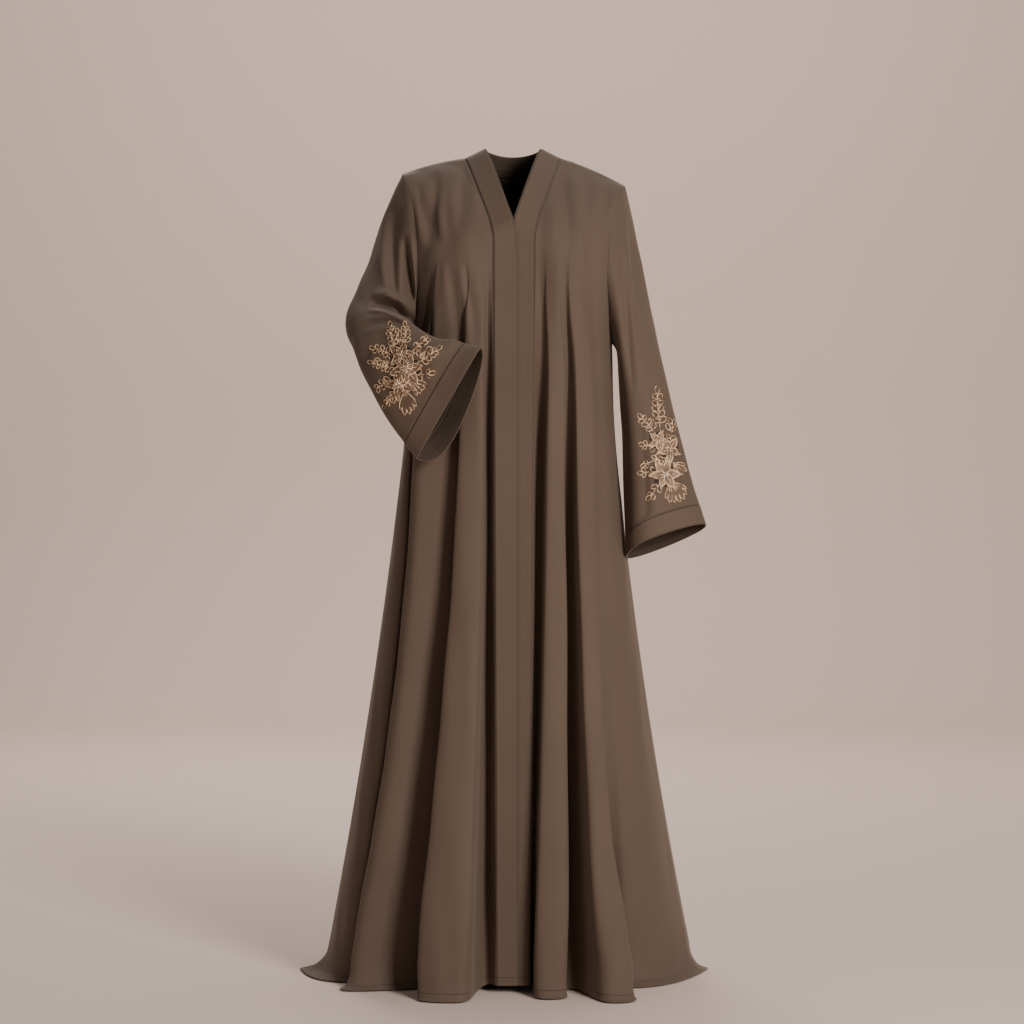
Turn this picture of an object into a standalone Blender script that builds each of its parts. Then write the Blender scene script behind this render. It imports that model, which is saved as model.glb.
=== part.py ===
"""An open-front abaya cloak, worn: two fronts, a flared back, bell sleeves, neck and front bands.

Metres, +Z up. The front faces -Y, and +X is the wearer's left. Heights are modelled above the
floor, and finished meshes are lowered by MOUNT_HEIGHT, so the origin lies between the shoulders.
"""
import math

import bpy
import numpy as np

# ---- driving sizes -------------------------------------------------------------------------
MOUNT_HEIGHT = 1.49          # the neck seam at the shoulders, above the floor
WALL = 0.002                 # cloth wall
SEAM_GAP = 0.0004            # between two sewn pieces
NECK_GAP = 0.0007            # at the back neck seam, whose ends twist
HEM_REST = 0.0032            # outer face of the cloth above the floor, at the hem
FRONT_LIFT = 0.012           # the hem rises at the front opening

NECK_HALF = 0.087            # neck point of the shoulder seam
NECK_Y = -0.012
NECK_OPEN_HALF = 0.052       # inner edge of the neck band
NECK_OPEN_Z = 1.508
NECK_ROUND = 0.10            # the neckline's edge rounds over the shoulder by this share of the V
SHOULDER_ARC = 0.004         # the shoulder seam bows up by this much
V_SEAM_Z = 1.349             # where the band's seam turns from the V to straight down
V_POINT_Z = 1.367
BACK_NECK_Y = 0.062
BACK_NECK_Z = 1.462
UNDERARM_Z = 1.155
YOKE_END_Z = 1.10            # where the row that ends under the arm reaches the front and back middle
WAIST_Z = 0.96
FOOT_Z = 0.055               # below this the cloth turns out on to the floor
BUST_Z = 1.24
BUST_X = 0.085
BUST_RISE = 0.012
FLARE_EARLY = 0.75           # share of the flare that is straight; the rest curves out

YOKE_ROWS = 10               # rows from the shoulder seam to the underarm
SKIRT_HEIGHTS = (1.04, 0.96, 0.86, 0.75, 0.63, 0.51, 0.39, 0.28, 0.18, 0.10, FOOT_Z)
FOOT_STEPS = 3

RIGHT, LEFT = -1, 1          # the wearer's sides, as the sign of X

# half widths, depths and the side seam's y at three levels
GIRTH_COLUMNS = ("height", "half_right", "half_left", "front", "back", "side_y")
GIRTH = [
    (UNDERARM_Z, 0.182, 0.180, 0.148, 0.112, 0.000),
    (WAIST_Z, 0.200, 0.178, 0.155, 0.120, 0.005),
    (FOOT_Z, 0.340, 0.326, 0.155, 0.330, 0.080),
]

LEFT_FULL = 0.010            # the left side is this much fuller at the waist, and less below it

SIDE_COLUMNS = ("shoulder_x", "shoulder_z", "seam_x", "seam_hem_x", "edge_x", "edge_back")
SIDES = {
    RIGHT: (0.201, 1.463, 0.0362, 0.0303, 0.0088, -0.0015),
    LEFT: (0.204, 1.441, 0.0388, 0.0294, 0.0060, 0.0035),
}

# One row for each flute of the skirt. near and far are its two edges: X at the waist, X at the
# hem, and how late the edge swings out between them, 1 for evenly. rise is how far its crown
# stands out of the section and sink how far the trough before it falls in, each at the waist and
# at the hem. crest is where the crown lies between the edges, spread how far the hem turns out,
# and slope the share of the width over which its near side rises, 0 where it is crisp.
FLUTE_COLUMNS = ("near", "far", "rise", "sink", "crest", "spread", "slope")
FRONT_FLUTES = {
    RIGHT: [
        ((0.050, 0.069, 1), (0.093, 0.160, 1.1), (0.018, 0.085), (0.030, 0.044), 0.50, 0.010, 0.0),
        ((0.097, 0.163, 1.1), (0.177, 0.289, 1.35), (0.012, 0.036), (0.020, 0.044), 0.7, 0.03, 0.8),
        ((0.181, 0.281, 1.35), None, (0.000, 0.000), (0.008, 0.018), 0.50, 0.050, 0.0),
    ],
    LEFT: [
        ((0.060, 0.036, 1), (0.092, 0.094, 1), (0.014, 0.052), (0.028, 0.040), 0.50, 0.006, 0.0),
        ((0.097, 0.124, 3), (0.1435, 0.200, 3), (0.016, 0.096), (0.022, 0.050), 0.55, 0.016, 0.0),
        ((0.170, 0.208, 1), None, (0.000, -0.010), (0.006, 0.030), 0.45, 0.036, 0.6),
    ],
}
# across the back, from the wearer's right to the left
BACK_FLUTES = [
    ((-0.176, -0.318, 1), (-0.128, -0.218, 1), (0.008, 0.030), (0.008, 0.024), 0.50, 0.060, 0.0),
    ((-0.112, -0.198, 1), (-0.058, -0.092, 1), (0.010, 0.034), (0.010, 0.034), 0.46, 0.050, 0.0),
    ((-0.040, -0.070, 1), (0.022, 0.050, 1), (0.009, 0.030), (0.009, 0.030), 0.55, 0.055, 0.0),
    ((0.042, 0.070, 1), (0.096, 0.176, 1), (0.010, 0.036), (0.009, 0.034), 0.50, 0.045, 0.0),
    ((0.114, 0.200, 1), (0.160, 0.300, 1), (0.008, 0.030), (0.010, 0.030), 0.52, 0.050, 0.0),
]
BACK_END_SINK = (0.008, 0.026)
EDGE_SHARE = 0.45            # a flute's edge lies this far from trough to crown
SLOPE_FOOT = 0.10            # a sloping side starts this far from trough to crown
SLOPE_TROUGH = 0.2           # and its trough lies this far across the gap between two flutes
TROUGH_SPREAD = 0.35         # a trough's hem turns out by this share of its flute's
CROWN_HALF = 0.24            # half the flat of a crown, as a share of the flute's width
FOLD_TOP = 1.33              # where the folds begin

# Each ring: its outer and inner ends, half its depth to the front and back, the tilt of its
# front above its back, how far it is turned to face forward, 1 for wholly, and how far its back
# hangs out along SAG, under the bent arm.
RING_COLUMNS = ("outer_x", "outer_y", "outer_z", "inner_x", "inner_y", "inner_z",
                "front", "back", "tilt", "face", "sag")
SLEEVE_RINGS = {
    RIGHT: [
        (0.235, 0.005, 1.389, 0.190, -0.020, 1.150, 0.082, 0.080, 0.0, 0.0, 0.0),
        (0.259, 0.005, 1.316, 0.193, -0.050, 1.150, 0.078, 0.078, 0.0, 0.0, 0.0),
        (0.284, -0.005, 1.239, 0.192, -0.078, 1.158, 0.070, 0.074, 0.0, 0.0, 0.0),
        (0.298, -0.030, 1.187, 0.187, -0.112, 1.173, 0.052, 0.056, 0.0, 0.0, 0.0),
        (0.293, -0.060, 1.160, 0.170, -0.146, 1.169, 0.046, 0.046, 0.0, 0.0, 0.0),
        (0.279, -0.090, 1.132, 0.150, -0.176, 1.160, 0.042, 0.042, 0.0, 0.0, 0.0),
        (0.257, -0.122, 1.082, 0.127, -0.204, 1.149, 0.038, 0.038, 0.0, 0.25, 0.004),
        (0.233, -0.150, 1.033, 0.101, -0.224, 1.145, 0.035, 0.038, 0.0, 0.50, 0.012),
        (0.201, -0.170, 0.983, 0.078, -0.230, 1.138, 0.032, 0.038, 0.0, 0.80, 0.023),
        (0.168, -0.190, 0.941, 0.056, -0.250, 1.131, 0.028, 0.036, 0.0, 1.00, 0.034),
    ],
    LEFT: [
        (0.218, 0.000, 1.380, 0.190, -0.005, 1.139, 0.080, 0.080, 0.0, 0.0, 0.0),
        (0.233, -0.002, 1.307, 0.193, -0.010, 1.088, 0.077, 0.077, 0.0, 0.0, 0.0),
        (0.247, -0.005, 1.234, 0.195, -0.015, 1.042, 0.073, 0.073, 0.0, 0.0, 0.0),
        (0.262, -0.008, 1.161, 0.198, -0.020, 0.997, 0.069, 0.069, 0.05, 0.0, 0.0),
        (0.278, -0.010, 1.088, 0.200, -0.030, 0.951, 0.065, 0.065, 0.10, 0.0, 0.0),
        (0.296, -0.013, 1.001, 0.203, -0.040, 0.897, 0.060, 0.060, 0.15, 0.0, 0.0),
        (0.317, -0.015, 0.924, 0.205, -0.045, 0.843, 0.055, 0.055, 0.22, 0.0, 0.0),
        (0.349, -0.015, 0.821, 0.206, -0.050, 0.773, 0.050, 0.050, 0.30, 0.0, 0.0),
    ],
}
SAG = (0.86, 0, -0.51)
PLUMP = -0.25                # how much deeper a ring is toward its outer end than its middle
PLUMP_CUFF = {RIGHT: 0.30, LEFT: -0.25}      # the same for its outer half at the cuff
SLEEVE_ROWS = 15
ELBOW_ROW = 7                # a sleeve is two solids, which meet at this row
RING_STEPS = 6               # points between two rings, from which the rows are read
CUFF_BAND = 0.036            # width of the turned cuff
CUFF_ROWS = 2
CUFF_RISE = 0.0006           # the turned cuff stands this far out of the sleeve
BAND_COLUMNS = 2

# ---- materials: colour, roughness ------------------------------------------------------------
CLOTH = ("abaya_crepe", (0.112, 0.080, 0.057), 0.82)


# ---- small helpers ---------------------------------------------------------------------------
def named(columns, values):
    return dict(zip(columns, values))


def smooth(t):
    t = np.clip(t, 0.0, 1.0)
    return t * t * (3 - 2 * t)


def mix(a, b, t):
    return a + (b - a) * t


def unit(v):
    return v / np.maximum(np.linalg.norm(v, axis=-1, keepdims=True), 1e-12)


def flare(height):
    """0 at the waist and above, 1 at the foot."""
    t = np.clip((WAIST_Z - height) / (WAIST_Z - FOOT_Z), 0.0, 1.0)
    return FLARE_EARLY * t + (1 - FLARE_EARLY) * t * t


def girth(height):
    """The section's half widths, depths and side seam at a height."""
    under, waist, foot = (np.array(row) for row in GIRTH)
    above = smooth((UNDERARM_Z - height) / (UNDERARM_Z - WAIST_Z))
    below = flare(height)
    values = mix(under, waist, above) if height >= WAIST_Z else mix(waist, foot, below)
    values[GIRTH_COLUMNS.index("half_left")] += LEFT_FULL * above ** 2 * (1 - below) ** 2.5
    return named(GIRTH_COLUMNS, values)


def bezier(start, out, end, into, count=80):
    """Points of a cubic from start, leaving along out, to end, arriving along into."""
    t = np.linspace(0, 1, count)[:, None]
    a, d = np.array(start, float), np.array(end, float)
    b, c = a + np.array(out, float), d - np.array(into, float)
    return (1 - t) ** 3 * a + 3 * (1 - t) ** 2 * t * b + 3 * (1 - t) * t ** 2 * c + t ** 3 * d


def even(points, count=80):
    """The same line with points evenly spaced along it."""
    return at_share(points, np.linspace(0, 1, count))


def at_share(points, share):
    """Points of a line at shares of its length."""
    steps = np.linalg.norm(np.diff(points, axis=0), axis=1)
    along = np.concatenate([[0], np.cumsum(steps)])
    along /= along[-1]
    return np.stack([np.interp(share, along, points[:, k]) for k in range(points.shape[1])], axis=1)


def curve_through(points, cuts):
    """A smooth line through points, cut into cuts[k] steps between points k and k + 1."""
    p = np.array(points, float)
    reach = np.maximum(np.linalg.norm(np.diff(p, axis=0), axis=-1), 1e-6)
    reach = reach.reshape(len(p) - 1, -1).mean(axis=1)
    knots = np.concatenate([[0], np.cumsum(np.sqrt(reach))])
    shape = (-1,) + (1,) * (p.ndim - 1)
    h = np.diff(knots).reshape(shape)
    slope = np.diff(p, axis=0) / h
    tangent = np.empty_like(p)
    tangent[0], tangent[-1] = slope[0], slope[-1]
    tangent[1:-1] = (slope[:-1] * h[1:] + slope[1:] * h[:-1]) / (h[:-1] + h[1:])
    line = []
    for k, steps in enumerate(cuts):
        for t in np.arange(steps) / steps:
            leaving = (t ** 3 - 2 * t ** 2 + t) * h[k] * tangent[k]
            arriving = (t ** 3 - t ** 2) * h[k] * tangent[k + 1]
            ease = 3 * t ** 2 - 2 * t ** 3
            line.append((1 - ease) * p[k] + ease * p[k + 1] + leaving + arriving)
    line.append(p[-1])
    return np.array(line)


# ---- the seams and edges that the panels share -------------------------------------------------
def front_depth(height):
    """How far the cloth lies in front of the middle, at the front opening."""
    if height > UNDERARM_Z:
        return mix(0.148, 0.140, smooth((height - UNDERARM_Z) / (V_SEAM_Z - UNDERARM_Z)))
    return girth(height)["front"]


def band_seam(side, height):
    """The seam between a front and its band: the V of the neck, then straight down."""
    own = named(SIDE_COLUMNS, SIDES[side])
    if height >= V_SEAM_Z:
        w = (MOUNT_HEIGHT - height) / (MOUNT_HEIGHT - V_SEAM_Z)
        return np.array([side * mix(NECK_HALF, own["seam_x"], w),
                         mix(NECK_Y, -front_depth(V_SEAM_Z), w ** 0.75), height])
    t = (V_SEAM_Z - height) / V_SEAM_Z
    return np.array([side * mix(own["seam_x"], own["seam_hem_x"], t), -front_depth(height), height])


def band_edge(side, height):
    """The free edge of a band, beside the seam point at this height."""
    own = named(SIDE_COLUMNS, SIDES[side])
    if height >= V_SEAM_Z:
        w = (MOUNT_HEIGHT - height) / (MOUNT_HEIGHT - V_SEAM_Z)
        back = own["edge_back"] * smooth((w - 0.6) / 0.4)
        fall = (math.hypot(w, NECK_ROUND) - NECK_ROUND) / (math.hypot(1, NECK_ROUND) - NECK_ROUND)
        return np.array([side * NECK_OPEN_HALF * (1 - w),
                         mix(NECK_Y + 0.004, -front_depth(V_SEAM_Z), w ** 0.75) + back,
                         mix(NECK_OPEN_Z, V_POINT_Z, fall)])
    fall = V_SEAM_Z - height
    rise = (V_POINT_Z - V_SEAM_Z) * math.exp(-fall / 0.05)
    over = own["edge_x"] * (1 - math.exp(-fall / 0.03))
    return np.array([-side * over, -front_depth(height) + own["edge_back"], height + rise])


def armhole(side, turn, back=False):
    """A point of the armhole: turn 0 at the shoulder, 1 under the arm."""
    own = named(SIDE_COLUMNS, SIDES[side])
    c, s = math.cos(math.pi * turn), math.sin(math.pi * turn)
    under_x = girth(UNDERARM_Z)["half_right" if side == RIGHT else "half_left"]
    waist_x = under_x - (0.010 if back else 0.014)
    upper, lower = ((1 + c) / 2) ** 4, ((1 - c) / 2) ** 4
    x = waist_x + (own["shoulder_x"] - waist_x) * upper + (under_x - waist_x) * lower
    return np.array([side * x, (0.084 if back else -0.088) * s,
                     mix(UNDERARM_Z, own["shoulder_z"], (1 + c) / 2)])


def neck_seam(turn):
    """The back neck seam: turn 0 at the right neck point, 1 at the left."""
    c, s = math.cos(math.pi * turn), math.sin(math.pi * turn)
    return np.array([-NECK_HALF * c, mix(NECK_Y, BACK_NECK_Y, s), mix(MOUNT_HEIGHT, BACK_NECK_Z, s)])


def shoulder_seam(side, share):
    """A point of the shoulder seam: share 0 at the neck, 1 at the armhole."""
    straight = mix(neck_seam(0 if side == RIGHT else 1), armhole(side, 0), share)
    return straight + np.array([0, 0, 4 * SHOULDER_ARC * share * (1 - share)])


def neck_edge(turn):
    """The neck band's free edge round the back of the neck."""
    c, s = math.cos(math.pi * turn), math.sin(math.pi * turn)
    return np.array([-NECK_OPEN_HALF * c, NECK_Y + 0.004 + 0.053 * s, NECK_OPEN_Z - 0.008 * s * s])


# ---- sections -----------------------------------------------------------------------------------
def bust(side, row):
    """A row with the fullness over the bust."""
    swell = np.exp(-((row[:, 0] * side - BUST_X) / 0.050) ** 2 - ((row[:, 2] - BUST_Z) / 0.090) ** 2)
    row[:, 1] -= BUST_RISE * swell * np.sin(np.pi * np.linspace(0, 1, len(row))) ** 0.5
    return row


def front_section(side, height):
    """The plain section of a front at a height, from the band seam to the side seam."""
    size = girth(height)
    start = band_seam(side, height)
    half = size["half_right" if side == RIGHT else "half_left"]
    end = np.array([side * half, size["side_y"], height])
    across, deep = abs(end[0] - start[0]), abs(end[1] - start[1])
    return bust(side, even(bezier(start, (side * across * 0.62, 0, 0), end, (0, deep * 0.58, 0))))


def back_section(height):
    """The plain section of the back, from the right side seam to the left."""
    size = girth(height)
    right = np.array([-size["half_right"], size["side_y"], height])
    left = np.array([size["half_left"], size["side_y"], height])
    middle = np.array([0, size["back"], height])
    deep = middle[1] - right[1]
    first = bezier(right, (0, deep * 0.58, 0), middle, (size["half_right"] * 0.60, 0, 0))
    second = bezier(middle, (size["half_left"] * 0.60, 0, 0), left, (0, -deep * 0.58, 0))
    return even(np.concatenate([first, second[1:]]), 160)


def front_yoke(side, turn):
    """A row of a front above the underarm; turn as in armhole."""
    down = (1 - math.cos(math.pi * turn)) / 2
    start = band_seam(side, mix(MOUNT_HEIGHT, YOKE_END_Z, turn))
    end = armhole(side, turn)
    wide = abs(end[0] - start[0])
    lean = math.pi / 2 * turn ** 0.8
    out = np.array([side * wide * mix(0.33, 0.62, down), 0, (end[2] - start[2]) * 0.33])
    into = np.array([side * wide * math.cos(lean), wide * math.sin(lean), end[2] - start[2]])
    leave = float(smooth(turn / 0.3))
    bow = np.array([0, 0, SHOULDER_ARC * 4 / 3])
    out = mix((end - start) / 3 + bow, out, leave)
    into = mix((end - start) / 3 - bow, into * mix(0.33, 0.58, down), leave)
    return bust(side, even(bezier(start, out, end, into)))


def back_top():
    """The back's top edge: shoulder seam, neck seam, shoulder seam, and the shares of its ends."""
    right = np.array([shoulder_seam(RIGHT, t) for t in np.linspace(1, 0, 50)])
    neck = np.array([neck_seam(t) for t in np.linspace(0, 1, 60)])
    left = np.array([shoulder_seam(LEFT, t) for t in np.linspace(0, 1, 50)])
    line = np.concatenate([right, neck[1:], left[1:]])
    steps = np.concatenate([[0], np.cumsum(np.linalg.norm(np.diff(line, axis=0), axis=1))])
    return line, steps[49] / steps[-1], steps[108] / steps[-1]


def back_yoke(turn):
    """A row of the back above the underarm, which leaves the shape of the top edge as it falls."""
    line, _, _ = back_top()
    kept = (even(line, 160) - back_curve(0.0)) * (1 - float(smooth(turn / 0.45)))
    return back_curve(turn) + kept


def back_curve(turn):
    """A smooth row across the back from armhole to armhole."""
    down = (1 - math.cos(math.pi * turn)) / 2
    depth = mix(BACK_NECK_Y, girth(UNDERARM_Z)["back"], math.sin(math.pi / 2 * turn) ** 0.8)
    middle = np.array([0, depth, mix(BACK_NECK_Z, YOKE_END_Z, turn)])
    lean = math.pi / 2 * turn ** 0.8
    halves = []
    for side in (RIGHT, LEFT):
        end = armhole(side, turn, True)
        wide = abs(end[0])
        drop = end[2] - middle[2]
        into = np.array([side * wide * math.cos(lean), -wide * 0.7 * math.sin(lean), drop]) * 0.5
        halves.append(bezier(middle, (side * wide * 0.6, 0, 0), end, into))
    return even(np.concatenate([halves[0][::-1], halves[1][1:]]), 160)


def out_of(section):
    """The level direction that points out of a section at each of its points. At a side seam it
    is straight sideways, for the front and the back alike."""
    along = unit(np.gradient(section, axis=0) * np.array([1, 1, 0]))
    out = np.stack([along[:, 1], -along[:, 0], np.zeros(len(section))], axis=1)
    middle = len(section) // 2
    if out[middle] @ (section[middle] * np.array([1, 1, 0])) < 0:
        out = -out
    for end in (0, -1):
        if abs(section[end, 0]) > NECK_HALF:
            out[end] = (np.sign(section[end, 0]), 0, 0)
    return out


# ---- flutes -------------------------------------------------------------------------------------
def flute_lines(rows, ends):
    """Lines of troughs, edges and crowns across a panel, as dictionaries of their values.

    x is None at the panel's ends. ends holds the trough's depth after the last flute, or None
    where the last flute runs on into the side seam.
    """
    lines = [{"kind": "seam"}]
    flutes = [named(FLUTE_COLUMNS, row) for row in rows]
    for k, flute in enumerate(flutes):
        near, far, spread, slope = flute["near"], flute["far"], flute["spread"], flute["slope"]
        sink, crown = [-s for s in flute["sink"]], flute["rise"]
        edge = [mix(s, c, EDGE_SHARE) for s, c in zip(sink, crown)]
        foot = [mix(s, c, SLOPE_FOOT) for s, c in zip(sink, crown)]
        lines.append({"kind": "trough", "out": sink, "spread": spread * TROUGH_SPREAD, "first": k == 0,
                      "ends": (flutes[k - 1]["far"] if k else near, near),
                      "share": SLOPE_TROUGH if slope else 0.5})
        if far is None:
            lines.append({"kind": "edge", "ends": (near, near), "share": 0.0, "out": edge,
                          "spread": spread * 0.6})
            lines.append({"kind": "half", "crest": flute["crest"], "out": crown, "spread": spread})
            continue
        crowns = (slope, 0.94) if slope else (flute["crest"] - CROWN_HALF, flute["crest"] + CROWN_HALF)
        for kind, share, out in (("edge", 0.0, foot if slope else edge), ("crown", crowns[0], crown),
                                 ("crown", crowns[1], crown), ("edge", 1.0, edge)):
            lines.append({"kind": kind, "ends": (near, far), "share": share, "out": out,
                          "spread": spread * (1.0 if kind == "crown" else 0.6)})
    if ends is not None:
        far = flutes[-1]["far"]
        lines.append({"kind": "trough", "ends": (far, far), "share": 0.0,
                      "out": (-ends[0], -ends[1]), "spread": flutes[-1]["spread"] * TROUGH_SPREAD,
                      "last": True})
    lines.append({"kind": "seam"})
    return lines


def edge_x(edge, t):
    """X of a flute's edge, from 0 at the waist to 1 at the hem."""
    at_waist, at_hem, late = edge
    return mix(at_waist, at_hem, t ** late)


def steps_between(lines):
    """How many columns lie between neighbouring lines."""
    cuts = []
    for a, b in zip(lines[:-1], lines[1:]):
        kinds = {a["kind"], b["kind"]}
        cuts.append(1 if kinds == {"edge", "crown"} or "seam" in kinds else 2)
    return cuts


def place_lines(lines, section, height, lift_seams, spread_seams):
    """Each line's share along the section, and its rise, spread and lift, at a height."""
    t = flare(height)
    out = out_of(section)
    share = np.linspace(0, 1, len(section))
    fade = smooth((FOLD_TOP - height) / (FOLD_TOP - WAIST_Z))
    at, rise, spread = [], [], []
    sign = np.sign(section[-1, 0] - section[0, 0])
    for k, line in enumerate(lines):
        if line["kind"] == "seam":
            at.append(0.0 if k == 0 else 1.0)
            rise.append(0.0)
            spread.append(spread_seams[0 if k == 0 else 1])
            continue
        rise.append(mix(line["out"][0], line["out"][1], t) * fade)
        spread.append(line["spread"])
        if line["kind"] == "half":
            at.append(mix(at[-1], 1.0, line["crest"]))
            continue
        x = mix(*(edge_x(edge, t) for edge in line["ends"]), line["share"])
        reach = section[:, 0] + rise[-1] * out[:, 0]
        reach = np.maximum.accumulate(reach * sign)
        at.append(float(np.interp(x * sign, reach, share)))
    at = np.array(at)
    for k, line in enumerate(lines):
        if line.get("first"):
            at[k] = at[k - 1] + 0.5 * (at[k + 1] - at[k - 1])
        if line.get("last"):
            at[k] = at[k - 1] + 0.5 * (at[k + 1] - at[k - 1])
    for k in range(1, len(at)):
        at[k] = max(at[k], at[k - 1] + 0.004)
    at[:-1] = np.minimum(at[:-1], 1.0 - 0.004 * np.arange(len(at) - 1, 0, -1))
    lift = np.array([FRONT_LIFT if lift_seams and (k == 0 or line.get("first")) else 0.0
                     for k, line in enumerate(lines)])
    return at, np.array(rise), np.array(spread), lift


def panel(lines, yoke, skirt, top_at, lift_seams=False, spread_seams=(0.0, 0.0)):
    """Rows of points down a panel. yoke(turn) and skirt(height) give its plain sections, and
    top_at the lines' shares along the top edge."""
    cuts = steps_between(lines)
    waist_at, waist_rise, _, _ = place_lines(lines, skirt(WAIST_Z), WAIST_Z, lift_seams, spread_seams)

    def fanned(height):
        """The lines' shares above the waist, which fan in from the waist to the top edge."""
        left = np.clip((height - WAIST_Z) / (MOUNT_HEIGHT - WAIST_Z), 0.0, 1.0)
        return mix(waist_at, top_at, left ** 2)

    rows = []
    for turn in np.linspace(0, 1, YOKE_ROWS + 1):
        section = yoke(turn)
        height = float(section[:, 2].mean())
        at = mix(top_at, fanned(height), float(smooth(turn / 0.2)))
        fade = smooth((FOLD_TOP - height) / (FOLD_TOP - WAIST_Z))
        points = at_share(section, at) + at_share(out_of(section), at) * (waist_rise * fade)[:, None]
        rows.append(curve_through(points, cuts))
    for height in SKIRT_HEIGHTS:
        section = skirt(height)
        at, rise, _, _ = place_lines(lines, section, height, lift_seams, spread_seams)
        if height > WAIST_Z:
            at = fanned(height)
        points = at_share(section, at) + at_share(out_of(section), at) * rise[:, None]
        rows.append(curve_through(points, cuts))
    section = skirt(FOOT_Z)
    at, rise, spread, lift = place_lines(lines, section, FOOT_Z, lift_seams, spread_seams)
    out = at_share(out_of(section), at)
    for step in range(1, FOOT_STEPS + 1):
        c, s = math.cos(math.pi / 2 * step / FOOT_STEPS), math.sin(math.pi / 2 * step / FOOT_STEPS)
        points = at_share(section, at) + out * (rise + spread * (1 - c))[:, None]
        points[:, 2] = mix(FOOT_Z, HEM_REST + lift, s)
        rows.append(curve_through(points, cuts))
    return np.array(rows)


def mirrored(edge, side):
    return None if edge is None else (side * edge[0], side * edge[1], edge[2])


def front_panel(side):
    """A front, from the band seam to the side seam."""
    rows = [(mirrored(near, side), mirrored(far, side), *rest) for near, far, *rest in FRONT_FLUTES[side]]
    lines = flute_lines(rows, None)
    top_at = np.linspace(0, 1, len(lines)) ** 0.9
    return panel(lines, lambda turn: front_yoke(side, turn), lambda z: front_section(side, z), top_at,
                 lift_seams=True, spread_seams=(0.0, 0.055 if side == RIGHT else 0.036))


def back_panel():
    """The back, from the right side seam to the left; also the columns of its neck points."""
    lines = flute_lines(BACK_FLUTES, BACK_END_SINK)
    _, neck_from, neck_to = back_top()
    marks = [0, 6, len(lines) - 7, len(lines) - 1]
    top_at = np.interp(np.arange(len(lines)), marks, [0, neck_from, neck_to, 1])
    grid = panel(lines, back_yoke, back_section, top_at, spread_seams=(0.055, 0.036))
    columns = np.concatenate([[0], np.cumsum(steps_between(lines))])
    first, last = columns[marks[1]], columns[marks[2]]
    neck = last - first
    for k in range(neck + 1):
        grid[0, first + k] = neck_seam(k / neck)
    for k in range(first):
        grid[0, k] = shoulder_seam(RIGHT, 1 - k / first)
    for k in range(grid.shape[1] - last):
        grid[0, last + k] = shoulder_seam(LEFT, k / (grid.shape[1] - 1 - last))
    return grid, first, last


# ---- walls --------------------------------------------------------------------------------------
def normals(grid):
    """Unit normals of a grid of points; they point out of the cloak."""
    down = np.gradient(grid, axis=0)
    across = np.gradient(grid, axis=1)
    return unit(np.cross(across, down))


def add_object(name, vertices, faces, material):
    mesh = bpy.data.meshes.new(name)
    mesh.from_pydata([tuple(v) for v in vertices], [], faces)
    mesh.materials.append(material)
    mesh.validate()
    thing = bpy.data.objects.new(name, mesh)
    collection.objects.link(thing)
    return thing


def grid_faces(rows, columns, closed, start, flip):
    """Triangles of a grid; closed joins its last column to its first."""
    faces = []
    for r in range(rows - 1):
        for c in range(columns if closed else columns - 1):
            a, b = r * columns + c, r * columns + (c + 1) % columns
            d, e = a + columns, b + columns
            for face in ((a, b, e), (a, e, d)):
                face = tuple(start + v for v in face)
                faces.append(face[::-1] if flip else face)
    return faces


def add_wall(name, outer, inner, material, closed=False, flip=False):
    """A closed wall between two grids of points."""
    rows, columns = outer.shape[:2]
    vertices = np.concatenate([outer.reshape(-1, 3), inner.reshape(-1, 3)])
    vertices[:, 2] -= MOUNT_HEIGHT
    size = rows * columns
    faces = grid_faces(rows, columns, closed, 0, flip)
    faces += grid_faces(rows, columns, closed, size, not flip)
    index = np.arange(size).reshape(rows, columns)
    if closed:
        rims = [[*index[0], index[0, 0]], [*index[-1, ::-1], index[-1, -1]]]
    else:
        rims = [[*index[0], *index[1:, -1], *index[-1, -2::-1], *index[-2::-1, 0]]]
    for rim in rims:
        for a, b in zip(rim[:-1], rim[1:]):
            # cut along the diagonal that leaves the higher point, the same on both sides of a seam
            quad = (b, a, a + size, b + size) if b > a else (a, a + size, b + size, b)
            for face in (quad[:3], (quad[0], *quad[2:])):
                faces.append(face[::-1] if flip else face)
    return add_object(name, vertices, faces, material)


def inset(grid, *edges, gap=SEAM_GAP / 2):
    """The grid with named edges drawn in by half a seam gap."""
    grid = grid.copy()
    picks = {"first": (np.s_[:, 0], np.s_[:, 1]), "last": (np.s_[:, -1], np.s_[:, -2]),
             "top": (np.s_[0], np.s_[1]), "bottom": (np.s_[-1], np.s_[-2])}
    for edge in edges:
        here, beside = picks[edge]
        grid[here] = grid[here] + unit(grid[beside] - grid[here]) * gap
    return grid


def cloth_material(values):
    name, colour, roughness = values
    material = bpy.data.materials.new(name)
    material.use_nodes = True
    shader = material.node_tree.nodes["Principled BSDF"]
    shader.inputs["Base Color"].default_value = (*colour, 1)
    shader.inputs["Roughness"].default_value = roughness
    shader.inputs["Metallic"].default_value = 0.0
    return material


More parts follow.
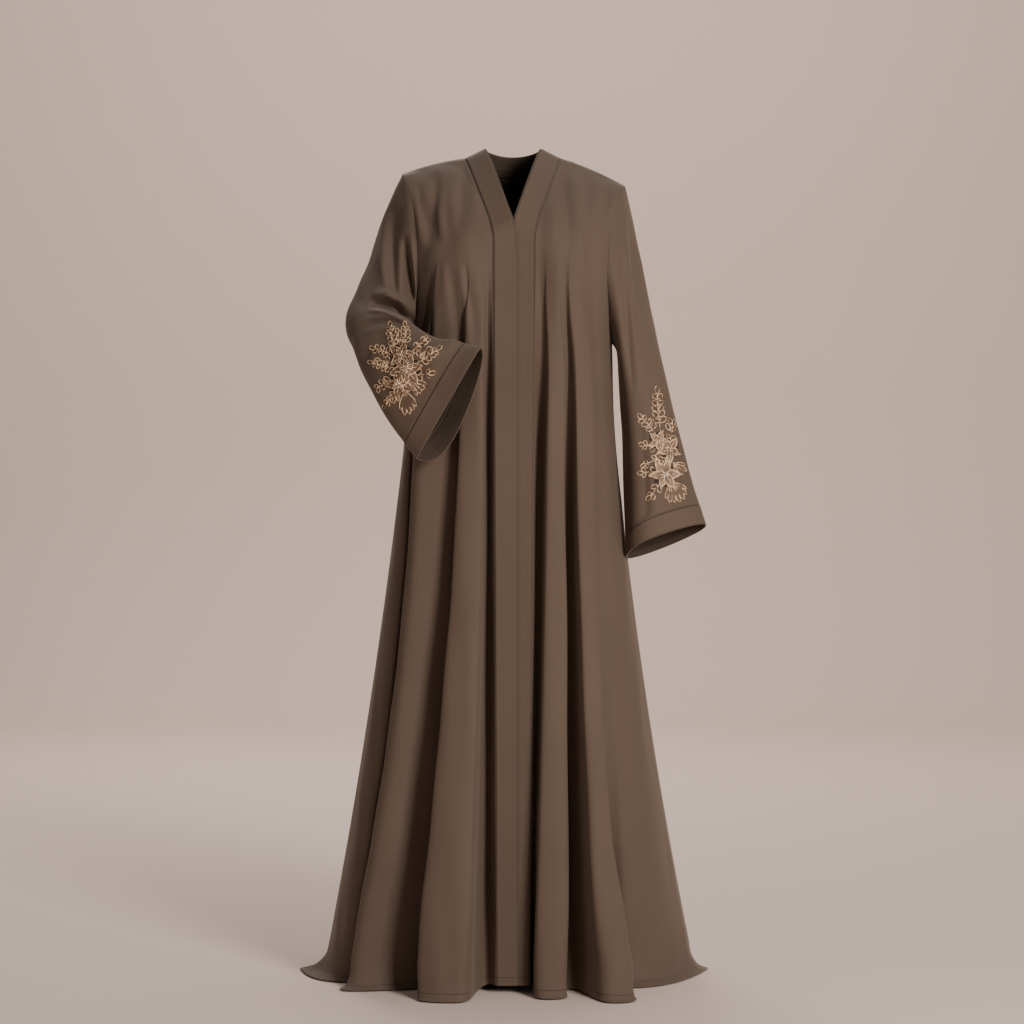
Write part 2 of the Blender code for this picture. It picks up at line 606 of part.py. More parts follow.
# ---- the cloak ----------------------------------------------------------------------------------
def sleeve_rings(side, count):
    """The armhole and the table's rings, each with count points, from the shoulder forward."""
    half = count // 2
    front = [armhole(side, k / half) for k in range(half + 1)]
    back = [armhole(side, 1 - k / half, True) for k in range(1, half)]
    rings = [np.array(front + back)]
    rows = [named(RING_COLUMNS, row) for row in SLEEVE_RINGS[side]]
    ends = [(np.array([side * r["outer_x"], r["outer_y"], r["outer_z"]]),
             np.array([side * r["inner_x"], r["inner_y"], r["inner_z"]])) for r in rows]
    centres = [(armhole(side, 0) + armhole(side, 1)) / 2] + [(a + b) / 2 for a, b in ends]
    for k, row in enumerate(rows):
        ahead = centres[min(k + 2, len(centres) - 1)] - centres[k]
        outer, inner = ends[k]
        deep = unit(np.cross(outer - inner, ahead))
        deep = deep * (1 if deep[1] < 0 else -1)
        deep = unit(mix(deep, np.array([0, -1, 0]), row["face"]) + np.array([0, 0, row["tilt"]]))
        turn = 2 * math.pi * np.arange(count)[:, None] / count
        c, s = np.cos(turn), np.sin(turn)
        tip = mix(PLUMP, PLUMP_CUFF[side], k / (len(rows) - 1))
        plump = np.where(s > 0, row["front"], row["back"]) * (1 + np.where(c > 0, tip, PLUMP) * c)
        c = np.sign(c) * np.abs(c) ** 0.9
        s = np.sign(s) * np.abs(s) ** 0.85
        sag = row["sag"] * np.maximum(-s, 0) * (1 + 0.4 * c)
        rings.append((outer + inner) / 2 + (outer - inner) / 2 * c + deep * plump * s
                     + sag * np.array(SAG))
    return rings


def along_columns(grid, start, end, count):
    """Rows of a sleeve from start to end, in metres before its edge; None is the armhole."""
    rows = []
    for c in range(grid.shape[1]):
        line = grid[:, c]
        length = np.linalg.norm(np.diff(line, axis=0), axis=1).sum()
        first = 0.0 if start is None else 1 - start / length
        rows.append(at_share(line, np.linspace(first, 1 - end / length, count + 1)))
    return np.stack(rows, axis=1)


def ring_normals(grid, side):
    """Normals of a tube's rows, which point out of it."""
    return normals(np.concatenate([grid[:, -1:], grid, grid[:, :1]], axis=1))[:, 1:-1] * side


def share_normals(*views):
    """Gives the same point of several pieces one normal."""
    together = unit(sum(grid[place] for grid, place in views))
    for grid, place in views:
        grid[place] = together


def band_strip(side, heights_of):
    """A front band's rows, from its free edge to its seam with the front."""
    rows = []
    for seam in heights_of:
        height = seam[2]
        edge = band_edge(side, height)
        edge[2] = edge[2] if height > FOOT_Z else height
        rows.append([mix(edge, seam, k / BAND_COLUMNS) for k in range(BAND_COLUMNS + 1)])
    return np.array(rows)


def neck_strip(count):
    """The neck band's two rows, from its free edge to its seam with the back."""
    turns = np.linspace(0, 1, count + 1)
    return np.array([[neck_edge(t) for t in turns], [(neck_edge(t) + neck_seam(t)) / 2 for t in turns],
                     [neck_seam(t) for t in turns]])


def build():
    cloth = cloth_material(CLOTH)
    back, neck_first, neck_last = back_panel()
    back_normal = normals(back)
    neck = neck_strip(neck_last - neck_first)
    neck_normal = normals(neck)
    shoulders, walls = {}, []
    for side in (RIGHT, LEFT):
        name = "right" if side == RIGHT else "left"
        edge = 0 if side == RIGHT else -1
        line = np.arange(neck_first + 1) if side == RIGHT else np.arange(neck_last, back.shape[1])
        front = front_panel(side)
        normal = normals(front) * -side
        band = band_strip(side, front[:, 0])
        band_normal = normals(band) * -side
        rings = np.array(sleeve_rings(side, 2 * YOKE_ROWS))
        whole = curve_through(rings, [RING_STEPS] * len(SLEEVE_RINGS[side]))
        sleeve = along_columns(whole, None, CUFF_BAND, SLEEVE_ROWS)
        cuff = along_columns(whole, CUFF_BAND, 0.0, CUFF_ROWS)
        tube = ring_normals(np.concatenate([sleeve, cuff[1:]]), side)

        seam = unit(armhole(side, 0) - neck_seam(0 if side == RIGHT else 1))
        up = unit(np.cross(seam, [0, side, 0]))
        up = up if up[2] > 0 else -up
        normal[0] = up
        back_normal[0, line] = up
        down = np.s_[YOKE_ROWS:, edge]
        share_normals((normal, np.s_[YOKE_ROWS:, -1]), (back_normal, down))
        rows = np.arange(YOKE_ROWS + 1)
        share_normals((normal, np.s_[rows, -1]), (tube, (0, rows)))
        round_back = (2 * YOKE_ROWS - rows) % (2 * YOKE_ROWS)
        for r in range(1, YOKE_ROWS):
            share_normals((back_normal, (r, edge)), (tube, (0, round_back[r])))
        back_normal[0, edge] = normal[0, -1]
        back_normal[YOKE_ROWS, edge] = normal[YOKE_ROWS, -1]
        share_normals((normal, np.s_[:, 0]), (band_normal, np.s_[:, -1]))
        share_normals((band_normal, np.s_[0, :]), (neck_normal, np.s_[:, edge]))
        corner = neck_first if side == RIGHT else neck_last
        share_normals((normal, (0, 0)), (band_normal, (0, -1)), (neck_normal, (-1, edge)),
                      (back_normal, (0, corner)))

        walls.append(("front_" + name, inset(front, "first", "last", "top"), normal, WALL, side == LEFT))
        walls.append(("front_band_" + name, inset(band, "last", "top"), band_normal, WALL, side == LEFT))
        sleeve_normal, cuff_normal = tube[:SLEEVE_ROWS + 1], tube[SLEEVE_ROWS:]
        cuff = inset(cuff, "top", gap=SEAM_GAP) + cuff_normal * CUFF_RISE
        for part, rows in (("upper", np.s_[:ELBOW_ROW + 1]), ("lower", np.s_[ELBOW_ROW:])):
            walls.append((f"sleeve_{name}_{part}", inset(sleeve[rows], "top", "bottom"),
                          sleeve_normal[rows], WALL, side == RIGHT))
        walls.append(("cuff_band_" + name, cuff, cuff_normal, WALL + CUFF_RISE, side == RIGHT))
    middle = np.arange(neck_first + 1, neck_last)
    share_normals((back_normal, (0, middle)), (neck_normal, (-1, middle - neck_first)))
    middle = back.shape[1] // 2
    for name, half in (("right", np.s_[:, :middle + 1]), ("left", np.s_[:, middle:])):
        walls.append(("back_" + name, inset(back[half], "first", "last", "top"), back_normal[half],
                      WALL, False))
    neck = inset(inset(neck, "first", "last", gap=SEAM_GAP), "bottom", gap=NECK_GAP)
    walls.append(("neck_band_back", neck, neck_normal, WALL, False))
    for name, outer, normal, thick, flip in walls:
        closed = name.startswith(("sleeve", "cuff"))
        add_wall(name, outer, outer - normal * thick, cloth, closed=closed, flip=flip)


for thing in list(bpy.data.objects):
    bpy.data.objects.remove(thing)
collection = bpy.data.collections.new("abaya_cloak")
bpy.context.scene.collection.children.link(collection)
build()
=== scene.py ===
"""An open-front abaya cloak as worn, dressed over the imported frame: crepe panels that hang in
flutes, a lapped front band, bell sleeves with turned cuffs, stitched hems and embroidered sprays.

Metres, +Z up. The front faces -Y, and +X is the wearer's left. Heights are modelled above the
floor, and finished meshes are lowered by MOUNT_HEIGHT, because the origin is at the shoulders.
"""
import math

import bmesh
import bpy
import numpy as np
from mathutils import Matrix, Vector
from mathutils.bvhtree import BVHTree


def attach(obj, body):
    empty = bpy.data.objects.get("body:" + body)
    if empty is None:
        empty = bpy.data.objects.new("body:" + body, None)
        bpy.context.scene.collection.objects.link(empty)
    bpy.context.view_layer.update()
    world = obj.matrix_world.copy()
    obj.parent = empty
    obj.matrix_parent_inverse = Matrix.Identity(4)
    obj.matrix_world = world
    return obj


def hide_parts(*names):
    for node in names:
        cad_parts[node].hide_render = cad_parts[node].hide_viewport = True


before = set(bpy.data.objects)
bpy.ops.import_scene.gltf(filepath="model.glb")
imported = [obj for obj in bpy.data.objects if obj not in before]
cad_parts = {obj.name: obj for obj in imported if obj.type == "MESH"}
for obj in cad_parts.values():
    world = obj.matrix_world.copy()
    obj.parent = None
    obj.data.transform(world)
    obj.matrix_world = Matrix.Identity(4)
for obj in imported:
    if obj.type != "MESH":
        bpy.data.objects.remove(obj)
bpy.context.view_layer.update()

# ---- driving sizes, as in the CAD ----------------------------------------------------------------
MOUNT_HEIGHT = 1.49          # the neck seam at the shoulders, above the floor
HEM_REST = 0.0032            # outer face of the cloth above the floor, at the hem
FRONT_LIFT = 0.012           # the hem rises at the front opening
NECK_HALF = 0.087            # neck point of the shoulder seam
NECK_Y = -0.012
NECK_OPEN_HALF = 0.052       # inner edge of the neck band
NECK_OPEN_Z = 1.508
NECK_ROUND = 0.10            # the neckline's edge rounds over the shoulder by this share of the V
SHOULDER_ARC = 0.004         # the shoulder seam bows up by this much
V_SEAM_Z = 1.349             # where the band's seam turns from the V to straight down
V_POINT_Z = 1.367
V_BEND = 0.75                # below 1, the V goes forward sooner than it goes down
POINT_RISE_FADE = 0.05       # how fast the band's edge leaves the V's point downward
LAP_FADE = 0.03
BAND_BACK = 0.004            # the band's free edge lies this far behind its seam at the neck
EDGE_BACK_FROM = 0.6         # it takes its own depth from this share of the way down the V
NECK_EDGE_DEEP = 0.053       # depth and fall of the free edge round the back of the neck
NECK_EDGE_FALL = 0.008
BACK_NECK_Y = 0.062
BACK_NECK_Z = 1.462
UNDERARM_Z = 1.155
YOKE_END_Z = 1.10            # where the row that ends under the arm reaches the front and back middle
WAIST_Z = 0.96
FOOT_Z = 0.055               # below this the cloth turns out on to the floor
BUST_Z = 1.24
BUST_X = 0.085
BUST_RISE = 0.012
BUST_WIDE, BUST_HIGH = 0.050, 0.090
ROUND_SIDE = 0.58            # how far a section runs straight on from its side seam,
ROUND_FRONT = 0.62           # from the band seam,
ROUND_BACK = 0.60            # and from the middle of the back, as a share of its size
YOKE_ROUND = 0.33            # the same for the rows above the underarm
LEAN_EARLY = 0.8             # below 1, those rows soon arrive pointing back round the arm
YOKE_LEAVE = 0.3             # they leave the shoulder seam's shape down to this part of the yoke,
BACK_LEAVE = 0.45            # at the back to this one
BACK_INTO, BACK_LEAN = 0.5, 0.7      # how far a back row runs on from the armhole, and its lean
TOP_BUNCH = 0.9              # below 1, a front's main lines start closer together at its armhole
FLARE_EARLY = 0.75           # share of the flare that is straight; the rest curves out
YOKE_ROWS = 10               # main rows from the shoulder seam to the underarm
SKIRT_HEIGHTS = (1.04, 0.96, 0.86, 0.75, 0.63, 0.51, 0.39, 0.28, 0.18, 0.10, FOOT_Z)
FOOT_STEPS = 3
FOLD_TOP = 1.33              # where the folds begin
TOP_TURN = 0.2               # the top edge's own shares are kept down to this part of the yoke
ARMHOLE_FRONT, ARMHOLE_BACK = -0.088, 0.084  # how far forward and back an armhole reaches
ARMHOLE_CUT = 0.014          # and how far it cuts in above the underarm, in front and behind
ARMHOLE_CUT_BACK = 0.010
ARMHOLE_SHARP = 4            # how close to its two ends an armhole goes sideways
CHEST_DEPTH = 0.148          # how far the opening lies in front of the middle, at the underarm
NECK_DEPTH = 0.140           # and at the V's foot

RIGHT, LEFT = -1, 1          # the wearer's sides, as the sign of X

# half widths, depths and the side seam's y at three levels
GIRTH_COLUMNS = ("height", "half_right", "half_left", "front", "back", "side_y")
GIRTH = [
    (UNDERARM_Z, 0.182, 0.180, 0.148, 0.112, 0.000),
    (WAIST_Z, 0.200, 0.178, 0.155, 0.120, 0.005),
    (FOOT_Z, 0.340, 0.326, 0.155, 0.330, 0.080),
]

LEFT_FULL = 0.010            # the left side is this much fuller at the waist, and less below it

SIDE_COLUMNS = ("shoulder_x", "shoulder_z", "seam_x", "seam_hem_x", "edge_x", "edge_back")
SIDES = {
    RIGHT: (0.201, 1.463, 0.0362, 0.0303, 0.0088, -0.0015),
    LEFT: (0.204, 1.441, 0.0388, 0.0294, 0.0060, 0.0035),
}

# One row for each flute of the skirt. near and far are its two edges: X at the waist, X at the
# hem, and how late the edge swings out between them, 1 for evenly. rise is how far its crown
# stands out of the section and sink how far the trough before it falls in, each at the waist and
# at the hem. crest is where the crown lies between the edges, spread how far the hem turns out,
# and slope the share of the width over which its near side rises, 0 where it is crisp.
FLUTE_COLUMNS = ("near", "far", "rise", "sink", "crest", "spread", "slope")
FRONT_FLUTES = {
    RIGHT: [
        ((0.050, 0.069, 1), (0.093, 0.160, 1.1), (0.018, 0.085), (0.030, 0.044), 0.50, 0.010, 0.0),
        ((0.097, 0.163, 1.1), (0.177, 0.289, 1.35), (0.012, 0.036), (0.020, 0.044), 0.7, 0.03, 0.8),
        ((0.181, 0.281, 1.35), None, (0.000, 0.000), (0.008, 0.018), 0.50, 0.050, 0.0),
    ],
    LEFT: [
        ((0.060, 0.036, 1), (0.092, 0.094, 1), (0.014, 0.052), (0.028, 0.040), 0.50, 0.006, 0.0),
        ((0.097, 0.124, 3), (0.1435, 0.200, 3), (0.016, 0.096), (0.022, 0.050), 0.55, 0.016, 0.0),
        ((0.170, 0.208, 1), None, (0.000, -0.010), (0.006, 0.030), 0.45, 0.036, 0.6),
    ],
}
# across the back, from the wearer's right to the left
BACK_FLUTES = [
    ((-0.176, -0.318, 1), (-0.128, -0.218, 1), (0.008, 0.030), (0.008, 0.024), 0.50, 0.060, 0.0),
    ((-0.112, -0.198, 1), (-0.058, -0.092, 1), (0.010, 0.034), (0.010, 0.034), 0.46, 0.050, 0.0),
    ((-0.040, -0.070, 1), (0.022, 0.050, 1), (0.009, 0.030), (0.009, 0.030), 0.55, 0.055, 0.0),
    ((0.042, 0.070, 1), (0.096, 0.176, 1), (0.010, 0.036), (0.009, 0.034), 0.50, 0.045, 0.0),
    ((0.114, 0.200, 1), (0.160, 0.300, 1), (0.008, 0.030), (0.010, 0.030), 0.52, 0.050, 0.0),
]
BACK_END_SINK = (0.008, 0.026)
NECK_LINE = 8                # the back's main line that starts at the neck point
EDGE_SHARE = 0.84            # a flute's edge lies this far from trough to crown
SLOPE_FOOT = 0.10            # a sloping side starts this far from trough to crown
SLOPE_TROUGH = 0.2           # and its trough lies this far across the gap between two flutes
ROOT_SHARE = 0.42            # below its edge a flute narrows by this share of the way to its crown
ROOT_RISE = 0.36             # the narrow place lies this far from trough to edge
TROUGH_SPREAD = 0.35         # a trough's hem turns out by this share of its flute's
CROWN_HALF = 0.44            # half the flat of a crown, as a share of the flute's width
SLOPE_CROWN_END = 0.94       # where the crown of a sloping flute ends across it
EDGE_SPREAD = 0.6            # a flute's edge turns out at the hem by this share of its crown's
LINE_GAP = 0.004             # two main lines are at least this share of the panel apart
SIDE_SPREAD = {RIGHT: 0.055, LEFT: 0.036}    # how far the hem turns out at the side seams

# Each ring: its outer and inner ends, half its depth to the front and back, the tilt of its
# front above its back, how far it is turned to face forward, 1 for wholly, and how far its back
# hangs out along SAG, under the bent arm.
RING_COLUMNS = ("outer_x", "outer_y", "outer_z", "inner_x", "inner_y", "inner_z",
                "front", "back", "tilt", "face", "sag")
SLEEVE_RINGS = {
    RIGHT: [
        (0.235, 0.005, 1.389, 0.190, -0.020, 1.150, 0.082, 0.080, 0.0, 0.0, 0.0),
        (0.259, 0.005, 1.316, 0.193, -0.050, 1.150, 0.078, 0.078, 0.0, 0.0, 0.0),
        (0.284, -0.005, 1.239, 0.192, -0.078, 1.158, 0.070, 0.074, 0.0, 0.0, 0.0),
        (0.298, -0.030, 1.187, 0.187, -0.112, 1.173, 0.052, 0.056, 0.0, 0.0, 0.0),
        (0.293, -0.060, 1.160, 0.170, -0.146, 1.169, 0.046, 0.046, 0.0, 0.0, 0.0),
        (0.279, -0.090, 1.132, 0.150, -0.176, 1.160, 0.042, 0.042, 0.0, 0.0, 0.0),
        (0.257, -0.122, 1.082, 0.127, -0.204, 1.149, 0.038, 0.038, 0.0, 0.25, 0.004),
        (0.233, -0.150, 1.033, 0.101, -0.224, 1.145, 0.035, 0.038, 0.0, 0.50, 0.012),
        (0.201, -0.170, 0.983, 0.078, -0.230, 1.138, 0.032, 0.038, 0.0, 0.80, 0.023),
        (0.168, -0.190, 0.941, 0.056, -0.250, 1.131, 0.028, 0.036, 0.0, 1.00, 0.034),
    ],
    LEFT: [
        (0.218, 0.000, 1.380, 0.190, -0.005, 1.139, 0.080, 0.080, 0.0, 0.0, 0.0),
        (0.233, -0.002, 1.307, 0.193, -0.010, 1.088, 0.077, 0.077, 0.0, 0.0, 0.0),
        (0.247, -0.005, 1.234, 0.195, -0.015, 1.042, 0.073, 0.073, 0.0, 0.0, 0.0),
        (0.262, -0.008, 1.161, 0.198, -0.020, 0.997, 0.069, 0.069, 0.05, 0.0, 0.0),
        (0.278, -0.010, 1.088, 0.200, -0.030, 0.951, 0.065, 0.065, 0.10, 0.0, 0.0),
        (0.296, -0.013, 1.001, 0.203, -0.040, 0.897, 0.060, 0.060, 0.15, 0.0, 0.0),
        (0.317, -0.015, 0.924, 0.205, -0.045, 0.843, 0.055, 0.055, 0.22, 0.0, 0.0),
        (0.349, -0.015, 0.821, 0.206, -0.050, 0.773, 0.050, 0.050, 0.30, 0.0, 0.0),
    ],
}
SAG = (0.86, 0, -0.51)
CUFF_BAND = 0.036            # width of the turned cuff
CUFF_RISE = 0.0006           # the turned cuff stands this far out of the sleeve

# ---- how finely the cloth is made ----------------------------------------------------------------
ROW_STEPS = 7                # points between two main rows
COLUMN_STEPS = 6             # points between two main lines of a panel
HEM_ROUND_Z = 0.22           # below this the folds round off
HEM_ROUND_PASSES = 26
WAIST_EASE_Z = 1.05          # the folds are eased around this height: wholly within half of the
WAIST_EASE_REACH = 0.14      # reach, and not at all beyond one and a half times the reach
WAIST_EASE_PASSES = 90
EASE_STEP = 0.5              # a point goes this share of the way to its neighbours' middle
PLUMP = -0.25                # how much deeper a ring is toward its outer end than its middle
PLUMP_CUFF = {RIGHT: 0.30, LEFT: -0.25}      # the same for its outer half at the cuff
RING_SQUARE = (0.9, 0.85)    # below 1, a ring is fuller than an ellipse, sideways and in depth
SAG_OUTER = 0.4              # a ring's outer end sags this much more than its middle
RING_POINTS = 160
RING_STEPS = 12
SLEEVE_ROWS = 130
CUFF_ROWS = 14
BAND_POINTS = 8
CLOTH_THICK = 0.0011
BAND_THICK = 0.0018


# ---- small helpers -------------------------------------------------------------------------------
def named(columns, values):
    return dict(zip(columns, values))


def smooth(t):
    t = np.clip(t, 0.0, 1.0)
    return t * t * (3 - 2 * t)


def mix(a, b, t):
    return a + (b - a) * t


def unit(v):
    return v / np.maximum(np.linalg.norm(v, axis=-1, keepdims=True), 1e-12)


def half_turn(t):
    """Cosine and sine of the share t of half a turn."""
    return math.cos(math.pi * t), math.sin(math.pi * t)


def flare(height):
    """0 at the waist and above, 1 at the foot."""
    t = np.clip((WAIST_Z - height) / (WAIST_Z - FOOT_Z), 0.0, 1.0)
    return FLARE_EARLY * t + (1 - FLARE_EARLY) * t * t


def girth(height):
    """The section's half widths, depths and side seam at a height."""
    under, waist, foot = (np.array(row) for row in GIRTH)
    above = smooth((UNDERARM_Z - height) / (UNDERARM_Z - WAIST_Z))
    below = flare(height)
    values = mix(under, waist, above) if height >= WAIST_Z else mix(waist, foot, below)
    values[GIRTH_COLUMNS.index("half_left")] += LEFT_FULL * above ** 2 * (1 - below) ** 2.5
    return named(GIRTH_COLUMNS, values)


def bezier(start, out, end, into, count=200):
    """Points of a cubic from start, leaving along out, to end, arriving along into."""
    t = np.linspace(0, 1, count)[:, None]
    a, d = np.array(start, float), np.array(end, float)
    b, c = a + np.array(out, float), d - np.array(into, float)
    return (1 - t) ** 3 * a + 3 * (1 - t) ** 2 * t * b + 3 * (1 - t) * t ** 2 * c + t ** 3 * d


def even(points, count=200):
    """The same line with points evenly spaced along it."""
    return at_share(points, np.linspace(0, 1, count))


def at_share(points, share):
    """Points of a line at shares of its length."""
    steps = np.linalg.norm(np.diff(points, axis=0), axis=1)
    along = np.concatenate([[0], np.cumsum(steps)])
    along /= along[-1]
    return np.stack([np.interp(share, along, points[:, k]) for k in range(points.shape[1])], axis=1)


def curve_through(points, steps):
    """A smooth line through points, or a surface through lines, with steps between each two."""
    p = np.array(points, float)
    reach = np.maximum(np.linalg.norm(np.diff(p, axis=0), axis=-1), 1e-6)
    reach = reach.reshape(len(p) - 1, -1).mean(axis=1)
    knots = np.concatenate([[0], np.cumsum(np.sqrt(reach))])
    shape = (-1,) + (1,) * (p.ndim - 1)
    h = np.diff(knots).reshape(shape)
    slope = np.diff(p, axis=0) / h
    tangent = np.empty_like(p)
    tangent[0], tangent[-1] = slope[0], slope[-1]
    tangent[1:-1] = (slope[:-1] * h[1:] + slope[1:] * h[:-1]) / (h[:-1] + h[1:])
    line = []
    for k in range(len(p) - 1):
        for t in np.arange(steps) / steps:
            leaving = (t ** 3 - 2 * t ** 2 + t) * h[k] * tangent[k]
            arriving = (t ** 3 - t ** 2) * h[k] * tangent[k + 1]
            ease = 3 * t ** 2 - 2 * t ** 3
            line.append((1 - ease) * p[k] + ease * p[k + 1] + leaving + arriving)
    line.append(p[-1])
    return np.array(line)


# ---- the seams and edges that the panels share ---------------------------------------------------
def front_depth(height):
    """How far the cloth lies in front of the middle, at the front opening."""
    if height > UNDERARM_Z:
        return mix(CHEST_DEPTH, NECK_DEPTH, smooth((height - UNDERARM_Z) / (V_SEAM_Z - UNDERARM_Z)))
    return girth(height)["front"]


def band_seam(side, height):
    """The seam between a front and its band: the V of the neck, then straight down."""
    own = named(SIDE_COLUMNS, SIDES[side])
    if height >= V_SEAM_Z:
        w = (MOUNT_HEIGHT - height) / (MOUNT_HEIGHT - V_SEAM_Z)
        return np.array([side * mix(NECK_HALF, own["seam_x"], w),
                         mix(NECK_Y, -front_depth(V_SEAM_Z), w ** V_BEND), height])
    t = (V_SEAM_Z - height) / V_SEAM_Z
    return np.array([side * mix(own["seam_x"], own["seam_hem_x"], t), -front_depth(height), height])


def band_edge(side, height):
    """The free edge of a band, beside the seam point at this height."""
    own = named(SIDE_COLUMNS, SIDES[side])
    if height >= V_SEAM_Z:
        w = (MOUNT_HEIGHT - height) / (MOUNT_HEIGHT - V_SEAM_Z)
        back = own["edge_back"] * smooth((w - EDGE_BACK_FROM) / (1 - EDGE_BACK_FROM))
        fall = (math.hypot(w, NECK_ROUND) - NECK_ROUND) / (math.hypot(1, NECK_ROUND) - NECK_ROUND)
        return np.array([side * NECK_OPEN_HALF * (1 - w),
                         mix(NECK_Y + BAND_BACK, -front_depth(V_SEAM_Z), w ** V_BEND) + back,
                         mix(NECK_OPEN_Z, V_POINT_Z, fall)])
    fall = V_SEAM_Z - height
    rise = (V_POINT_Z - V_SEAM_Z) * math.exp(-fall / POINT_RISE_FADE)
    over = own["edge_x"] * (1 - math.exp(-fall / LAP_FADE))
    return np.array([-side * over, -front_depth(height) + own["edge_back"], height + rise])


def armhole(side, turn, back=False):
    """A point of the armhole: turn 0 at the shoulder, 1 under the arm."""
    own = named(SIDE_COLUMNS, SIDES[side])
    c, s = half_turn(turn)
    under_x = girth(UNDERARM_Z)["half_right" if side == RIGHT else "half_left"]
    waist_x = under_x - (ARMHOLE_CUT_BACK if back else ARMHOLE_CUT)
    upper, lower = ((1 + c) / 2) ** ARMHOLE_SHARP, ((1 - c) / 2) ** ARMHOLE_SHARP
    x = waist_x + (own["shoulder_x"] - waist_x) * upper + (under_x - waist_x) * lower
    return np.array([side * x, (ARMHOLE_BACK if back else ARMHOLE_FRONT) * s,
                     mix(UNDERARM_Z, own["shoulder_z"], (1 + c) / 2)])


def neck_seam(turn):
    """The back neck seam: turn 0 at the right neck point, 1 at the left."""
    c, s = half_turn(turn)
    return np.array([-NECK_HALF * c, mix(NECK_Y, BACK_NECK_Y, s), mix(MOUNT_HEIGHT, BACK_NECK_Z, s)])


def shoulder_seam(side, share):
    """A point of the shoulder seam: share 0 at the neck, 1 at the armhole."""
    straight = mix(neck_seam(0 if side == RIGHT else 1), armhole(side, 0), share)
    return straight + np.array([0, 0, 4 * SHOULDER_ARC * share * (1 - share)])


def neck_edge(turn):
    """The neck band's free edge round the back of the neck."""
    c, s = half_turn(turn)
    return np.array([-NECK_OPEN_HALF * c, NECK_Y + BAND_BACK + NECK_EDGE_DEEP * s,
                     NECK_OPEN_Z - NECK_EDGE_FALL * s * s])


# ---- sections ------------------------------------------------------------------------------------
def bust(side, row):
    """A row with the fullness over the bust."""
    swell = np.exp(-((row[:, 0] * side - BUST_X) / BUST_WIDE) ** 2
                   - ((row[:, 2] - BUST_Z) / BUST_HIGH) ** 2)
    row[:, 1] -= BUST_RISE * swell * np.sin(np.pi * np.linspace(0, 1, len(row))) ** 0.5
    return row


def front_section(side, height):
    """The plain section of a front at a height, from the band seam to the side seam."""
    size = girth(height)
    start = band_seam(side, height)
    half = size["half_right" if side == RIGHT else "half_left"]
    end = np.array([side * half, size["side_y"], height])
    across, deep = abs(end[0] - start[0]), abs(end[1] - start[1])
    return bust(side, even(bezier(start, (side * across * ROUND_FRONT, 0, 0), end,
                                  (0, deep * ROUND_SIDE, 0))))


def back_section(height):
    """The plain section of the back, from the right side seam to the left."""
    size = girth(height)
    right = np.array([-size["half_right"], size["side_y"], height])
    left = np.array([size["half_left"], size["side_y"], height])
    middle = np.array([0, size["back"], height])
    deep = middle[1] - right[1]
    first = bezier(right, (0, deep * ROUND_SIDE, 0), middle, (size["half_right"] * ROUND_BACK, 0, 0))
    second = bezier(middle, (size["half_left"] * ROUND_BACK, 0, 0), left, (0, -deep * ROUND_SIDE, 0))
    return even(np.concatenate([first, second[1:]]), 400)


def front_yoke(side, turn):
    """A row of a front above the underarm; turn as in armhole."""
    down = (1 - math.cos(math.pi * turn)) / 2
    start = band_seam(side, mix(MOUNT_HEIGHT, YOKE_END_Z, turn))
    end = armhole(side, turn)
    wide = abs(end[0] - start[0])
    lean = math.pi / 2 * turn ** LEAN_EARLY
    out = np.array([side * wide * mix(YOKE_ROUND, ROUND_FRONT, down), 0,
                    (end[2] - start[2]) * YOKE_ROUND])
    into = np.array([side * wide * math.cos(lean), wide * math.sin(lean), end[2] - start[2]])
    leave = float(smooth(turn / YOKE_LEAVE))
    bow = np.array([0, 0, SHOULDER_ARC * 4 / 3])
    out = mix((end - start) / 3 + bow, out, leave)
    into = mix((end - start) / 3 - bow, into * mix(YOKE_ROUND, ROUND_SIDE, down), leave)
    return bust(side, even(bezier(start, out, end, into)))


def back_top():
    """The back's top edge: shoulder seam, neck seam, shoulder seam, and the shares of its ends."""
    right = np.array([shoulder_seam(RIGHT, t) for t in np.linspace(1, 0, 50)])
    neck = np.array([neck_seam(t) for t in np.linspace(0, 1, 60)])
    left = np.array([shoulder_seam(LEFT, t) for t in np.linspace(0, 1, 50)])
    line = np.concatenate([right, neck[1:], left[1:]])
    steps = np.concatenate([[0], np.cumsum(np.linalg.norm(np.diff(line, axis=0), axis=1))])
    first = len(right) - 1
    last = first + len(neck) - 1
    return line, steps[first] / steps[-1], steps[last] / steps[-1]


def back_curve(turn):
    """A smooth row across the back from armhole to armhole."""
    depth = mix(BACK_NECK_Y, girth(UNDERARM_Z)["back"], math.sin(math.pi / 2 * turn) ** LEAN_EARLY)
    middle = np.array([0, depth, mix(BACK_NECK_Z, YOKE_END_Z, turn)])
    lean = math.pi / 2 * turn ** LEAN_EARLY
    halves = []
    for side in (RIGHT, LEFT):
        end = armhole(side, turn, True)
        wide = abs(end[0])
        drop = end[2] - middle[2]
        into = np.array([side * wide * math.cos(lean), -wide * BACK_LEAN * math.sin(lean), drop])
        halves.append(bezier(middle, (side * wide * ROUND_BACK, 0, 0), end, into * BACK_INTO))
    return even(np.concatenate([halves[0][::-1], halves[1][1:]]), 400)


def back_yoke(turn):
    """A row of the back above the underarm, which leaves the shape of the top edge as it falls."""
    line, _, _ = back_top()
    kept = (even(line, 400) - back_curve(0.0)) * (1 - float(smooth(turn / BACK_LEAVE)))
    return back_curve(turn) + kept


